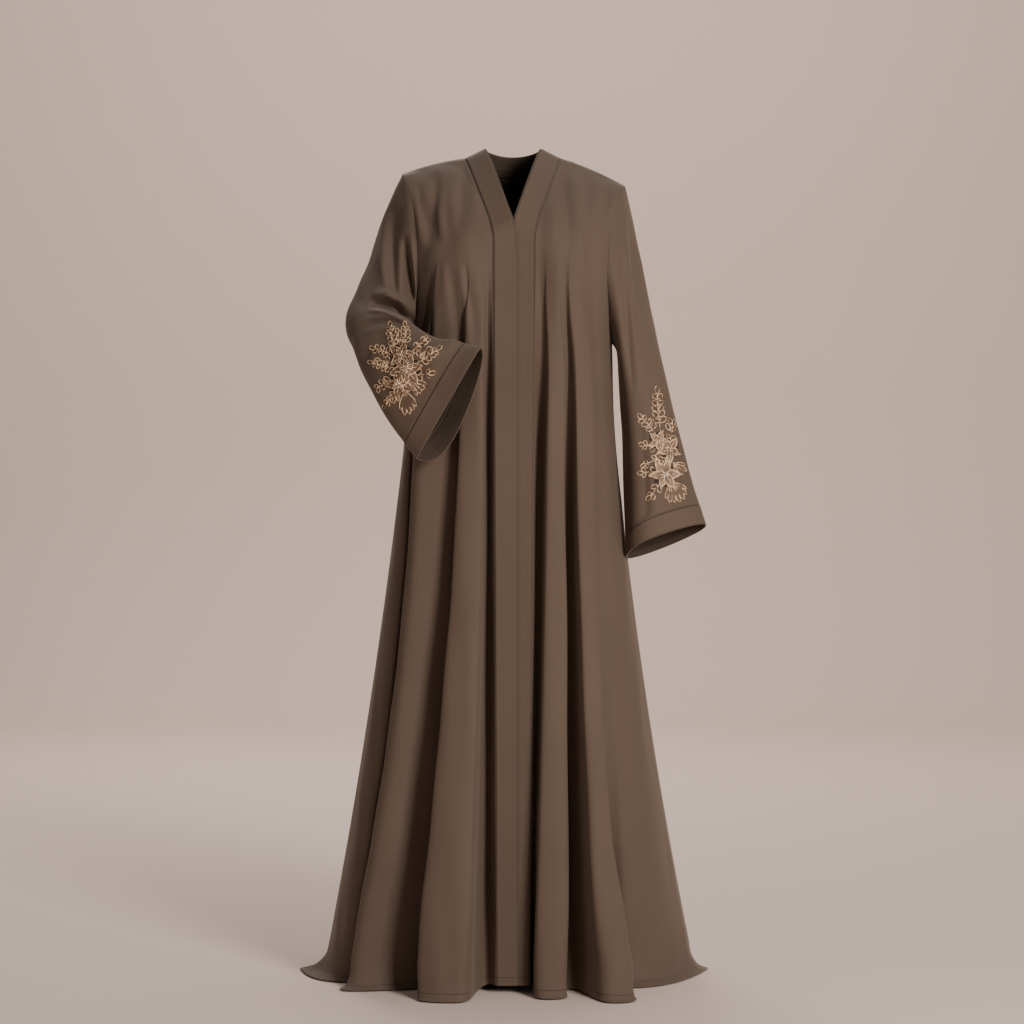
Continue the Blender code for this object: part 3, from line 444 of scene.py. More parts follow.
def out_of(section):
    """The level direction that points out of a section at each of its points. At a side seam it
    is straight sideways, for the front and the back alike."""
    along = unit(np.gradient(section, axis=0) * np.array([1, 1, 0]))
    out = np.stack([along[:, 1], -along[:, 0], np.zeros(len(section))], axis=1)
    middle = len(section) // 2
    if out[middle] @ (section[middle] * np.array([1, 1, 0])) < 0:
        out = -out
    for end in (0, -1):
        if abs(section[end, 0]) > NECK_HALF:
            out[end] = (np.sign(section[end, 0]), 0, 0)
    return out


# ---- flutes --------------------------------------------------------------------------------------
def flute_lines(rows, ends):
    """Lines of troughs, roots, edges and crowns across a panel, as dictionaries of their values.

    ends holds the trough's depth after the last flute, or None where the last flute runs on into
    the side seam. A root is where a flute is narrower than its own edge, behind it.
    """
    lines = [{"kind": "seam"}]
    flutes = [named(FLUTE_COLUMNS, row) for row in rows]
    for k, flute in enumerate(flutes):
        near, far, spread, slope = flute["near"], flute["far"], flute["spread"], flute["slope"]
        sink, crown = [-s for s in flute["sink"]], flute["rise"]
        edge = [mix(s, c, EDGE_SHARE) for s, c in zip(sink, crown)]
        foot = [mix(s, c, SLOPE_FOOT) for s, c in zip(sink, crown)]
        lines.append({"kind": "trough", "out": sink, "spread": spread * TROUGH_SPREAD, "first": k == 0,
                      "ends": (flutes[k - 1]["far"] if k else near, near),
                      "share": SLOPE_TROUGH if slope else 0.5})
        if far is None:
            lines.append({"kind": "edge", "ends": (near, near), "share": 0.0, "out": edge,
                          "spread": spread * EDGE_SPREAD})
            lines.append({"kind": "half", "crest": flute["crest"], "out": crown, "spread": spread})
            continue
        root = {"kind": "root", "spread": spread * EDGE_SPREAD}
        lines.append({**root, "ahead": 1, "sloped": slope > 0})
        crest = flute["crest"]
        crowns = (slope, SLOPE_CROWN_END) if slope else (crest - CROWN_HALF, crest + CROWN_HALF)
        for kind, share, out in (("edge", 0.0, foot if slope else edge), ("crown", crowns[0], crown),
                                 ("crown", crowns[1], crown), ("edge", 1.0, edge)):
            lines.append({"kind": kind, "ends": (near, far), "share": share, "out": out,
                          "spread": spread * (1.0 if kind == "crown" else EDGE_SPREAD)})
        lines.append({**root, "ahead": -1})
    if ends is not None:
        far = flutes[-1]["far"]
        lines.append({"kind": "trough", "ends": (far, far), "share": 0.0,
                      "out": (-ends[0], -ends[1]), "spread": flutes[-1]["spread"] * TROUGH_SPREAD,
                      "last": True})
    lines.append({"kind": "seam"})
    return lines


def fold_fade(height):
    """0 where the folds begin, 1 at the waist and below."""
    return smooth((FOLD_TOP - height) / (FOLD_TOP - WAIST_Z))


def edge_x(edge, t):
    """X of a flute's edge, from 0 at the waist to 1 at the hem."""
    at_waist, at_hem, late = edge
    return mix(at_waist, at_hem, t ** late)


def place_lines(lines, section, height, lift_seams, spread_seams):
    """Each line's share along the section, and its rise, spread and lift, at a height."""
    t = flare(height)
    out = out_of(section)
    share = np.linspace(0, 1, len(section))
    fade = fold_fade(height)
    sign = np.sign(section[-1, 0] - section[0, 0])
    firm = [k for k, line in enumerate(lines) if line["kind"] != "root"]
    at, rise, spread = np.zeros(len(lines)), np.zeros(len(lines)), np.zeros(len(lines))
    for k in firm:
        line = lines[k]
        if line["kind"] == "seam":
            at[k] = 0.0 if k == 0 else 1.0
            spread[k] = spread_seams[0 if k == 0 else 1]
            continue
        rise[k] = mix(line["out"][0], line["out"][1], t) * fade
        spread[k] = line["spread"]
        if line["kind"] == "half":
            at[k] = mix(at[k - 1], 1.0, line["crest"])
            continue
        x = mix(*(edge_x(edge, t) for edge in line["ends"]), line["share"])
        reach = np.maximum.accumulate((section[:, 0] + rise[k] * out[:, 0]) * sign)
        at[k] = float(np.interp(x * sign, reach, share))
    for here, k in enumerate(firm):
        if lines[k].get("first") or lines[k].get("last"):
            at[k] = (at[firm[here - 1]] + at[firm[here + 1]]) / 2
    for before, k in zip(firm[:-1], firm[1:]):
        at[k] = max(at[k], at[before] + LINE_GAP)
    for here, k in enumerate(firm[:-1]):
        at[k] = min(at[k], 1.0 - LINE_GAP * (len(firm) - 1 - here))
    for k, line in enumerate(lines):
        if line["kind"] == "root":
            step = line["ahead"]
            edge, crown, trough = k + step, k + 2 * step, k - step
            over = mix(at[edge], at[crown], ROOT_SHARE * fade)
            at[k] = (at[edge] + at[trough]) / 2 if line.get("sloped") else over
            rise[k] = mix(rise[trough], rise[edge], ROOT_RISE)
            spread[k] = line["spread"]
    lift = np.array([FRONT_LIFT if lift_seams and (k == 0 or line.get("first")) else 0.0
                     for k, line in enumerate(lines)])
    return at, rise, spread, lift


def panel(lines, yoke, skirt, top_at, spread_seams, lift_seams=False):
    """Rows of points down a panel. yoke(turn) and skirt(height) give its plain sections, and
    top_at the lines' shares along the top edge."""
    rows = []
    waist_at, waist_rise, _, _ = place_lines(lines, skirt(WAIST_Z), WAIST_Z, lift_seams, spread_seams)

    def fanned(height):
        left = np.clip((height - WAIST_Z) / (MOUNT_HEIGHT - WAIST_Z), 0.0, 1.0)
        return mix(waist_at, top_at, left ** 2)

    def pushed(section, at, rise):
        return at_share(section, at) + at_share(out_of(section), at) * rise[:, None]

    for turn in np.linspace(0, 1, YOKE_ROWS + 1):
        section = yoke(turn)
        height = float(section[:, 2].mean())
        at = mix(top_at, fanned(height), float(smooth(turn / TOP_TURN)))
        rows.append(pushed(section, at, waist_rise * fold_fade(height)))
    for height in SKIRT_HEIGHTS:
        section = skirt(height)
        at, rise, spread, lift = place_lines(lines, section, height, lift_seams, spread_seams)
        rows.append(pushed(section, fanned(height) if height > WAIST_Z else at, rise))
    for step in range(1, FOOT_STEPS + 1):
        c, s = half_turn(step / FOOT_STEPS / 2)
        points = pushed(section, at, rise + spread * (1 - c))
        points[:, 2] = mix(FOOT_Z, HEM_REST + lift, s)
        rows.append(points)
    return np.array([curve_through(points, COLUMN_STEPS) for points in rows])


def fine_rows(rows):
    """The panel's rows with more rows between them, its folds rounder toward the hem and
    straighter where they pass the waist."""
    grid = curve_through(rows, ROW_STEPS)
    share = smooth((HEM_ROUND_Z - grid[:, 1:-1, 2:]) / HEM_ROUND_Z)
    for _ in range(HEM_ROUND_PASSES):
        grid[:, 1:-1] = mix(grid[:, 1:-1], (grid[:, :-2] + grid[:, 2:]) / 2, EASE_STEP * share)
    share = smooth(1.5 - np.abs(grid[1:-1, :, 2] - WAIST_EASE_Z) / WAIST_EASE_REACH)
    share = (share * away_from_edges(grid)[1:-1])[..., None]
    for _ in range(WAIST_EASE_PASSES):
        grid[1:-1] = mix(grid[1:-1], (grid[:-2] + grid[2:]) / 2, EASE_STEP * share)
    return grid


def mirrored(edge, side):
    return None if edge is None else (side * edge[0], side * edge[1], edge[2])


def front_panel(side):
    """A front, from the band seam to the side seam."""
    rows = [(mirrored(near, side), mirrored(far, side), *rest)
            for near, far, *rest in FRONT_FLUTES[side]]
    lines = flute_lines(rows, None)
    top_at = np.linspace(0, 1, len(lines)) ** TOP_BUNCH
    grid = panel(lines, lambda turn: front_yoke(side, turn), lambda z: front_section(side, z), top_at,
                 (0.0, SIDE_SPREAD[side]), lift_seams=True)
    return fine_rows(grid)


def back_panel():
    """The back, from the right side seam to the left; also the columns of its neck points."""
    lines = flute_lines(BACK_FLUTES, BACK_END_SINK)
    _, neck_from, neck_to = back_top()
    marks = [0, NECK_LINE, len(lines) - 1 - NECK_LINE, len(lines) - 1]
    top_at = np.interp(np.arange(len(lines)), marks, [0, neck_from, neck_to, 1])
    grid = panel(lines, back_yoke, back_section, top_at, (SIDE_SPREAD[RIGHT], SIDE_SPREAD[LEFT]))
    first, last = marks[1] * COLUMN_STEPS, marks[2] * COLUMN_STEPS
    neck = last - first
    for k in range(neck + 1):
        grid[0, first + k] = neck_seam(k / neck)
    for k in range(first):
        grid[0, k] = shoulder_seam(RIGHT, 1 - k / first)
    for k in range(grid.shape[1] - last):
        grid[0, last + k] = shoulder_seam(LEFT, k / (grid.shape[1] - 1 - last))
    return fine_rows(grid), first, last


def normals(grid):
    """Unit normals of a grid of points, which point out of the cloak."""
    return unit(np.cross(np.gradient(grid, axis=1), np.gradient(grid, axis=0)))


# ---- creases -------------------------------------------------------------------------------------
# Each crease is a line in the front view: points (x, height above the floor), the width of its
# trough, its depth, and lean, which makes one of its flanks steeper than the other.
CREASE_COLUMNS = ("line", "width", "depth", "lean")
BODICE_CREASES = {
    RIGHT: [
        ([(-0.168, 1.440), (-0.164, 1.398), (-0.153, 1.351), (-0.146, 1.315)], 0.0095, 0.0066, 0.3),
        ([(-0.138, 1.462), (-0.140, 1.417), (-0.142, 1.386), (-0.139, 1.350), (-0.136, 1.320)],
         0.0095, 0.0066, -0.2),
        ([(-0.0886, 1.470), (-0.092, 1.417), (-0.0925, 1.370), (-0.093, 1.340)], 0.0110, 0.0040, 0.2),
        ([(-0.114, 1.290), (-0.109, 1.245), (-0.102, 1.190), (-0.097, 1.120)], 0.0075, 0.0046, 0.3),
        ([(-0.084, 1.285), (-0.077, 1.235), (-0.070, 1.180), (-0.066, 1.110)], 0.0075, 0.0046, 0.3),
        ([(-0.146, 1.280), (-0.149, 1.225), (-0.150, 1.160), (-0.150, 1.080)], 0.0085, 0.0056, -0.3),
    ],
    LEFT: [
        ([(0.171, 1.430), (0.164, 1.390), (0.155, 1.335), (0.150, 1.280)], 0.0100, 0.0048, -0.3),
        ([(0.136, 1.455), (0.133, 1.405), (0.136, 1.350), (0.134, 1.300)], 0.0095, 0.0046, 0.2),
        ([(0.093, 1.475), (0.094, 1.425), (0.098, 1.360), (0.100, 1.310)], 0.0105, 0.0032, -0.2),
        ([(0.142, 1.280), (0.146, 1.215), (0.148, 1.150), (0.148, 1.070)], 0.0090, 0.0040, 0.3),
    ],
}
BACK_CREASES = [
    ([(-0.120, 1.440), (-0.110, 1.370), (-0.106, 1.290)], 0.0100, 0.0036, 0.3),
    ([(-0.060, 1.440), (-0.054, 1.350), (-0.060, 1.250), (-0.070, 1.150)], 0.0090, 0.0040, -0.3),
    ([(-0.018, 1.420), (-0.014, 1.320), (-0.020, 1.210), (-0.028, 1.120)], 0.0085, 0.0036, 0.2),
    ([(0.030, 1.430), (0.034, 1.340), (0.030, 1.240), (0.032, 1.130)], 0.0090, 0.0042, 0.3),
    ([(0.076, 1.440), (0.080, 1.350), (0.088, 1.250), (0.094, 1.140)], 0.0085, 0.0036, -0.4),
    ([(0.132, 1.430), (0.126, 1.350), (0.128, 1.270)], 0.0100, 0.0038, 0.2),
    ([(-0.148, 1.300), (-0.150, 1.220), (-0.146, 1.120)], 0.0080, 0.0042, 0.3),
    ([(0.150, 1.290), (0.152, 1.200), (0.146, 1.110)], 0.0080, 0.0040, -0.3),
]
# the front of a sleeve, then its back
SLEEVE_CREASES = {
    (RIGHT, "front"): [
        ([(-0.214, 1.405), (-0.221, 1.335), (-0.215, 1.270), (-0.203, 1.225)], 0.0105, 0.0120, 0.3),
        ([(-0.245, 1.370), (-0.258, 1.290), (-0.254, 1.230)], 0.0130, 0.0040, 0.2),
        ([(-0.270, 1.110), (-0.240, 1.140), (-0.205, 1.150)], 0.0090, 0.0030, 0.3),
        ([(-0.150, 1.130), (-0.172, 1.080), (-0.196, 1.030)], 0.0120, 0.0022, 0.2),
    ],
    (RIGHT, "back"): [
        ([(-0.216, 1.400), (-0.226, 1.330), (-0.222, 1.260)], 0.0110, 0.0060, 0.3),
        ([(-0.192, 1.380), (-0.194, 1.300), (-0.198, 1.220)], 0.0090, 0.0060, -0.3),
        ([(-0.285, 1.215), (-0.250, 1.195), (-0.210, 1.190)], 0.0100, 0.0060, 0.3),
        ([(-0.280, 1.130), (-0.230, 1.110), (-0.180, 1.120)], 0.0100, 0.0040, -0.2),
    ],
    (LEFT, "front"): [
        ([(0.210, 1.385), (0.216, 1.310), (0.222, 1.230), (0.226, 1.150)], 0.0100, 0.0062, 0.3),
        ([(0.196, 1.330), (0.204, 1.240), (0.208, 1.150), (0.214, 1.060)], 0.0080, 0.0058, -0.3),
        ([(0.236, 1.300), (0.246, 1.210), (0.254, 1.120)], 0.0110, 0.0034, 0.2),
        ([(0.240, 1.150), (0.258, 1.060), (0.272, 0.960), (0.284, 0.880)], 0.0130, 0.0030, 0.3),
        ([(0.222, 1.060), (0.230, 0.970), (0.236, 0.880), (0.240, 0.800)], 0.0110, 0.0034, -0.3),
    ],
    (LEFT, "back"): [
        ([(0.212, 1.380), (0.218, 1.300), (0.224, 1.210)], 0.0100, 0.0060, 0.3),
        ([(0.236, 1.240), (0.248, 1.130), (0.262, 1.010)], 0.0120, 0.0050, -0.3),
        ([(0.216, 1.100), (0.226, 0.990), (0.236, 0.880)], 0.0120, 0.0050, 0.3),
        ([(0.290, 1.040), (0.300, 0.950), (0.316, 0.860)], 0.0140, 0.0040, 0.2),
    ],
}
# Folds where the bent arm gathers the sleeve; they push the cloth back or, below zero, forward.
ELBOW_FOLDS = [
    ([(-0.256, 1.216), (-0.222, 1.209), (-0.186, 1.192), (-0.166, 1.182)], 0.0080, 0.0320, 0.4),
    ([(-0.256, 1.236), (-0.222, 1.232), (-0.196, 1.219), (-0.178, 1.206)], 0.0100, -0.0130, 0.0),
    ([(-0.290, 1.166), (-0.250, 1.181), (-0.214, 1.182), (-0.180, 1.168)], 0.0065, 0.0085, -0.3),
    ([(-0.192, 1.345), (-0.186, 1.290), (-0.182, 1.245), (-0.177, 1.203)], 0.0068, 0.0200, -0.3),
]
CREASE_BANK = 0.30           # the cloth beside a crease stands up by this share of its depth
BANK_AWAY, BANK_WIDE = 2.0, 0.95     # where, and how wide, in widths of the crease
CREASE_STEPS = 8             # points between two points of a crease's line
CREASE_ENDS = 0.7            # below 1, a crease fades only near its ends
RIPPLES = 14
RIPPLE_HEIGHT = 0.0010
RIPPLE_TURNS = ((60, 170), (30, 90), (4, 16))    # radians a metre across, in depth and down
CREASE_TURN = 0.35           # a sleeve's creases fade out where it turns this near to sideways
ELBOW_TURN = 0.25            # elbow folds fade out where the sleeve turns this near to backward,
ELBOW_FADE = 0.4             # over this much of the turn
EDGE_REACH = 0.012           # creases and ripples fade out this far before a piece's edge
BACK_SEED, FRONT_SEED, SLEEVE_SEED, SPRAY_SEED = 5, 7, 20, 40    # the side, -1 or 1, is added


def crease_rise(points, creases):
    """How far creases push each point in or out; points is a grid, read in the front view."""
    flat = points.reshape(-1, 3)[:, [0, 2]]
    total = np.zeros(len(flat))
    for crease in creases:
        crease = named(CREASE_COLUMNS, crease)
        line = curve_through(crease["line"], CREASE_STEPS)
        start, step = line[:-1], np.diff(line, axis=0)
        away = flat[:, None] - start[None]
        t = np.clip((away * step).sum(-1) / (step ** 2).sum(-1), 0, 1)
        gap = away - t[..., None] * step
        far = np.linalg.norm(gap, axis=-1)
        best = far.argmin(axis=1)
        rows = np.arange(len(flat))
        along = (best + t[rows, best]) / len(step)
        hand = np.sign(step[best, 0] * gap[rows, best, 1] - step[best, 1] * gap[rows, best, 0])
        d = far[rows, best] / (crease["width"] * (1 + crease["lean"] * hand))
        fade = np.sin(np.pi * np.clip(along, 0.0, 1.0)) ** CREASE_ENDS
        shape = -np.exp(-d ** 2) + CREASE_BANK * np.exp(-((d - BANK_AWAY) / BANK_WIDE) ** 2)
        total += crease["depth"] * fade * shape
    return total.reshape(points.shape[:2])


def ripple(points, seed):
    """Faint uneven waves that run down the cloth."""
    waves = np.random.default_rng(seed)
    total = np.zeros(points.shape[:2])
    for _ in range(RIPPLES):
        turns = [waves.uniform(*reach) * waves.choice([-1, 1]) for reach in RIPPLE_TURNS]
        shift = waves.uniform(0, 2 * math.pi)
        total += np.sin(sum(points[..., k] * turn for k, turn in enumerate(turns)) + shift)
    return total * RIPPLE_HEIGHT / math.sqrt(RIPPLES)


def lengths(grid, axis):
    """How far along a grid's lines each point is, in metres, and how far it is to their end."""
    steps = np.linalg.norm(np.diff(grid, axis=axis), axis=-1)
    zero = np.zeros_like(np.take(steps, [0], axis=axis))
    along = np.concatenate([zero, np.cumsum(steps, axis=axis)], axis=axis)
    return along, np.take(along, [-1], axis=axis) - along


def away_from_edges(grid, closed=False):
    """0 at a piece's edges and 1 further in, so that seams stay where they are."""
    down = smooth(np.minimum(*lengths(grid, 0)) / EDGE_REACH)
    return down if closed else down * smooth(np.minimum(*lengths(grid, 1)) / EDGE_REACH)


# ---- sleeves and bands ---------------------------------------------------------------------------
def sleeve_rings(side, count):
    """The armhole and the table's rings, each with count points, from the shoulder forward."""
    half = count // 2
    front = [armhole(side, k / half) for k in range(half + 1)]
    back = [armhole(side, 1 - k / half, True) for k in range(1, half)]
    rings = [np.array(front + back)]
    rows = [named(RING_COLUMNS, row) for row in SLEEVE_RINGS[side]]
    ends = [(np.array([side * r["outer_x"], r["outer_y"], r["outer_z"]]),
             np.array([side * r["inner_x"], r["inner_y"], r["inner_z"]])) for r in rows]
    centres = [(armhole(side, 0) + armhole(side, 1)) / 2] + [(a + b) / 2 for a, b in ends]
    for k, row in enumerate(rows):
        ahead = centres[min(k + 2, len(centres) - 1)] - centres[k]
        outer, inner = ends[k]
        deep = unit(np.cross(outer - inner, ahead))
        deep = deep * (1 if deep[1] < 0 else -1)
        deep = unit(mix(deep, np.array([0, -1, 0]), row["face"]) + np.array([0, 0, row["tilt"]]))
        turn = 2 * math.pi * np.arange(count)[:, None] / count
        c, s = np.cos(turn), np.sin(turn)
        tip = mix(PLUMP, PLUMP_CUFF[side], k / (len(rows) - 1))
        plump = np.where(s > 0, row["front"], row["back"]) * (1 + np.where(c > 0, tip, PLUMP) * c)
        c, s = (np.sign(v) * np.abs(v) ** power for v, power in zip((c, s), RING_SQUARE))
        sag = row["sag"] * np.maximum(-s, 0) * (1 + SAG_OUTER * c)
        rings.append((outer + inner) / 2 + (outer - inner) / 2 * c + deep * plump * s
                     + sag * np.array(SAG))
    return rings


def along_columns(grid, start, end, count):
    """Rows of a sleeve from start to end, in metres before its edge; None is the armhole."""
    rows = []
    for c in range(grid.shape[1]):
        line = grid[:, c]
        length = np.linalg.norm(np.diff(line, axis=0), axis=1).sum()
        first = 0.0 if start is None else 1 - start / length
        rows.append(at_share(line, np.linspace(first, 1 - end / length, count + 1)))
    return np.stack(rows, axis=1)


def ring_normals(grid, side):
    """Normals of a tube's rows, which point out of it."""
    return normals(np.concatenate([grid[:, -1:], grid, grid[:, :1]], axis=1))[:, 1:-1] * side


def from_edge(edges, seams):
    """The points of a band, each row along it, from its free edge to its seam."""
    shares = np.arange(BAND_POINTS + 1)[:, None, None] / BAND_POINTS
    return mix(np.array(edges), np.array(seams), shares)


def band_strip(side, seams):
    """A front band's rows, each from its free edge to its seam with the front."""
    edges = np.array([band_edge(side, height) for height in seams[:, 2]])
    edges[:, 2] = np.where(seams[:, 2] > FOOT_Z, edges[:, 2], seams[:, 2])
    return from_edge(edges, seams).swapaxes(0, 1)


def neck_strip(count):
    """The neck band's rows, from its free edge to its seam with the back."""
    turns = np.linspace(0, 1, count + 1)
    return from_edge([neck_edge(t) for t in turns], [neck_seam(t) for t in turns])


# ---- embroidery ----------------------------------------------------------------------------------
# A spray is drawn flat, in millimetres right and up from its centre as seen from the front, and
# is then laid on the sleeve. Angles are in degrees from the right, counterclockwise.
# A flower: x, y, radius, petals, turn. A sprig: x, y, angle, length, bend, pairs of leaves and the
# size of a leaf. A fan: x, y, angle, opening, length, loops. layers are the rings of petals of
# each flower, as shares of its radius, and satin is how light the stitches are, from 0 to 1.
SPRAYS = {
    RIGHT: {
        "centre": (-0.190, 1.096),
        "satin": 0.62,
        "layers": (1.0, 0.58),
        "flowers": [(7, -1, 29, 6, 12), (-5, -25, 25, 5, 40), (-2, 24, 24, 5, 75)],
        "sprigs": [
            (-12, 28, 112, 48, -14, 4, 12), (2, 34, 84, 40, 12, 4, 11), (13, 26, 50, 40, -16, 4, 11),
            (20, 8, 24, 44, 14, 4, 12), (-16, 22, 148, 38, 14, 3, 12), (-8, 1, 172, 48, -12, 4, 11),
            (-12, -14, 200, 40, 12, 3, 12), (-8, -32, 234, 34, -8, 3, 11), (14, -10, -6, 30, 14, 2, 13),
            (-20, 10, 158, 22, 8, 1, 11), (-6, 36, 96, 26, 8, 1, 11), (20, 16, 40, 24, -8, 1, 11),
        ],
        "fans": [(2, -34, -78, 44, 46, 5), (10, -18, -40, 46, 36, 4), (-10, -34, -108, 40, 26, 3)],
    },
    LEFT: {
        "centre": (0.270, 0.957),
        "satin": 1.0,
        "layers": (1.0,),
        "flowers": [(0, -42, 28, 6, 8), (9, 3, 23, 5, 52), (-11, 18, 20, 5, 62)],
        "sprigs": [
            (-5, 26, 98, 76, -6, 5, 15), (6, 24, 72, 44, -10, 3, 13), (-14, 28, 124, 38, 12, 3, 13),
            (-8, 7, 180, 26, -14, 2, 12), (-6, 8, 262, 40, 6, 3, 11), (-9, -38, 174, 27, 14, 2, 12),
            (-6, -54, 240, 30, -10, 2, 13), (10, 10, 80, 38, -4, 2, 11), (-4, -8, 214, 32, -10, 2, 11),
        ],
        "fans": [(11, -54, -64, 80, 40, 7), (16, -20, -40, 60, 30, 4), (4, -10, -92, 44, 22, 3)],
    },
}
CORD_HALF = 0.00072          # half the width of a laid cord
CORD_HIGH = 0.0009
CORD_SIDES = 6
CORD_STEP = 1.6              # millimetres between a cord's points
FILL_LIFT = 0.0003           # satin stitches lie on the cloth
OUTLINE_LIFT = 0.0002        # an outline's cord lies this far above the stitches' foot
FAN_LIFT = 0.0004
SHADE_LIFT = 0.0006
FLOWER_LIFT = 0.0019         # a flower lies on the leaves behind it
OVER_LIFT = 0.0003           # and every second petal on its neighbours
DOME_LEAF = 0.0004           # padding raises a leaf's middle, and a petal's more
DOME_PETAL = 0.0011
SHADE_LEVEL = -1.0           # marks the dark patches behind a flower: painted shade between its petals
SHADE_TONE = -0.1            # which are darker than every other tone
ROOT_TONE = 0.03             # the tone at a petal's root
HIGHLIGHT_ALONG, HIGHLIGHT_BESIDE = 0.75, 0.42     # how much lighter it gets to the tip and to the sides, as a painted highlight
STEM_POINTS = 14
LEAVES_FROM, LEAVES_OVER = 0.28, 0.6     # the share of a stem where leaves start, and their stretch
LEAF_FOOT, LEAF_LESS = 1.08, 0.3         # size of the first leaves, and how much less at the end
LEAF_VARY = (0.88, 1.1)
LEAF_LEAN = (44, 58)         # degrees between a leaf and its stem
LEAF_WIDE = 0.30             # half the width of a leaf, as a share of its length
END_LONG, END_WIDE = 1.05, 0.29          # the leaf at a stem's end
FAN_LESS = 0.5               # how much shorter a fan gets toward its sides
FAN_VARY = (0.92, 1.06)
FAN_WIDE = 0.11
FAN_TONE = 0.5               # its stitches are this much as light as a flower's
PETAL_POINTS = 11            # along a petal or a leaf
PETAL_WIDE = 0.27
PETAL_VARY = (0.86, 1.14)
PETAL_SWAY = 8               # degrees
SHADE_LONG, SHADE_WIDE = 0.84, 0.26      # the patches of painted shade, as shares of the flower's radius
FLOWER_HEART = 1.2           # petals start this far from a flower's middle
VEIN_START = 3.0             # a vein starts this far from it, and goes on to these shares of the
VEIN_BENDS = ((0.4, 0.5), (0.66, 0.0))   # petal's length, this far beside its middle
FLOWER_BEADS = 5
BEAD_SWAY = 20               # degrees
BEAD_AWAY = (3.0, 6.5)       # millimetres from the flower's middle
BEAD_SIZE = (0.0011, 0.0016)
BEAD_LIFT = 0.0006           # above the upper petals
HEART_SIZE, HEART_LIFT = 0.0013, 0.0008  # the bead at a flower's middle
FILL_ACROSS = (-0.9, -0.45, 0, 0.45, 0.9)    # where the points of a fill lie across a petal
RAY_FROM = -3.0              # threads are laid on the cloth from this far in front
MISS_SIDE = -0.25            # and only where it faces the front this much


def turned(points, angle):
    """Flat points turned by an angle in degrees."""
    a = math.radians(angle)
    return np.asarray(points) @ np.array([[math.cos(a), math.sin(a)], [-math.sin(a), math.cos(a)]])


def petal(start, angle, length, wide, early=1.2, point=0.75):
    """A petal as its outline and the rows of its fill, both flat. It is widest nearer its tip
    where early is above 1, and has a sharp tip where point is above 1."""
    t = np.linspace(0, 1, PETAL_POINTS)
    half = wide * np.sin(math.pi * t ** early) ** point
    ring = np.concatenate([np.stack([t * length, half], axis=1),
                           np.stack([t * length, -half], axis=1)[-2:0:-1]])
    rows = np.stack([np.stack([t * length, half * share], axis=1) for share in FILL_ACROSS], axis=1)
    return turned(ring, angle) + start, turned(rows.reshape(-1, 2), angle).reshape(rows.shape) + start


def stitch_tone_and_highlight(level, along, beside):
    """How light stitches are: brown at a petal's root and middle, lightening to cream at its sides and
    tip as a painted highlight, and darkest for the patches of painted shade.
    """
    if level < 0:
        return np.full_like(along, SHADE_TONE)
    light = np.minimum(1.0, HIGHLIGHT_ALONG * along + HIGHLIGHT_BESIDE * np.abs(2 * beside - 1))
    return mix(ROOT_TONE, 1.0, level * light)


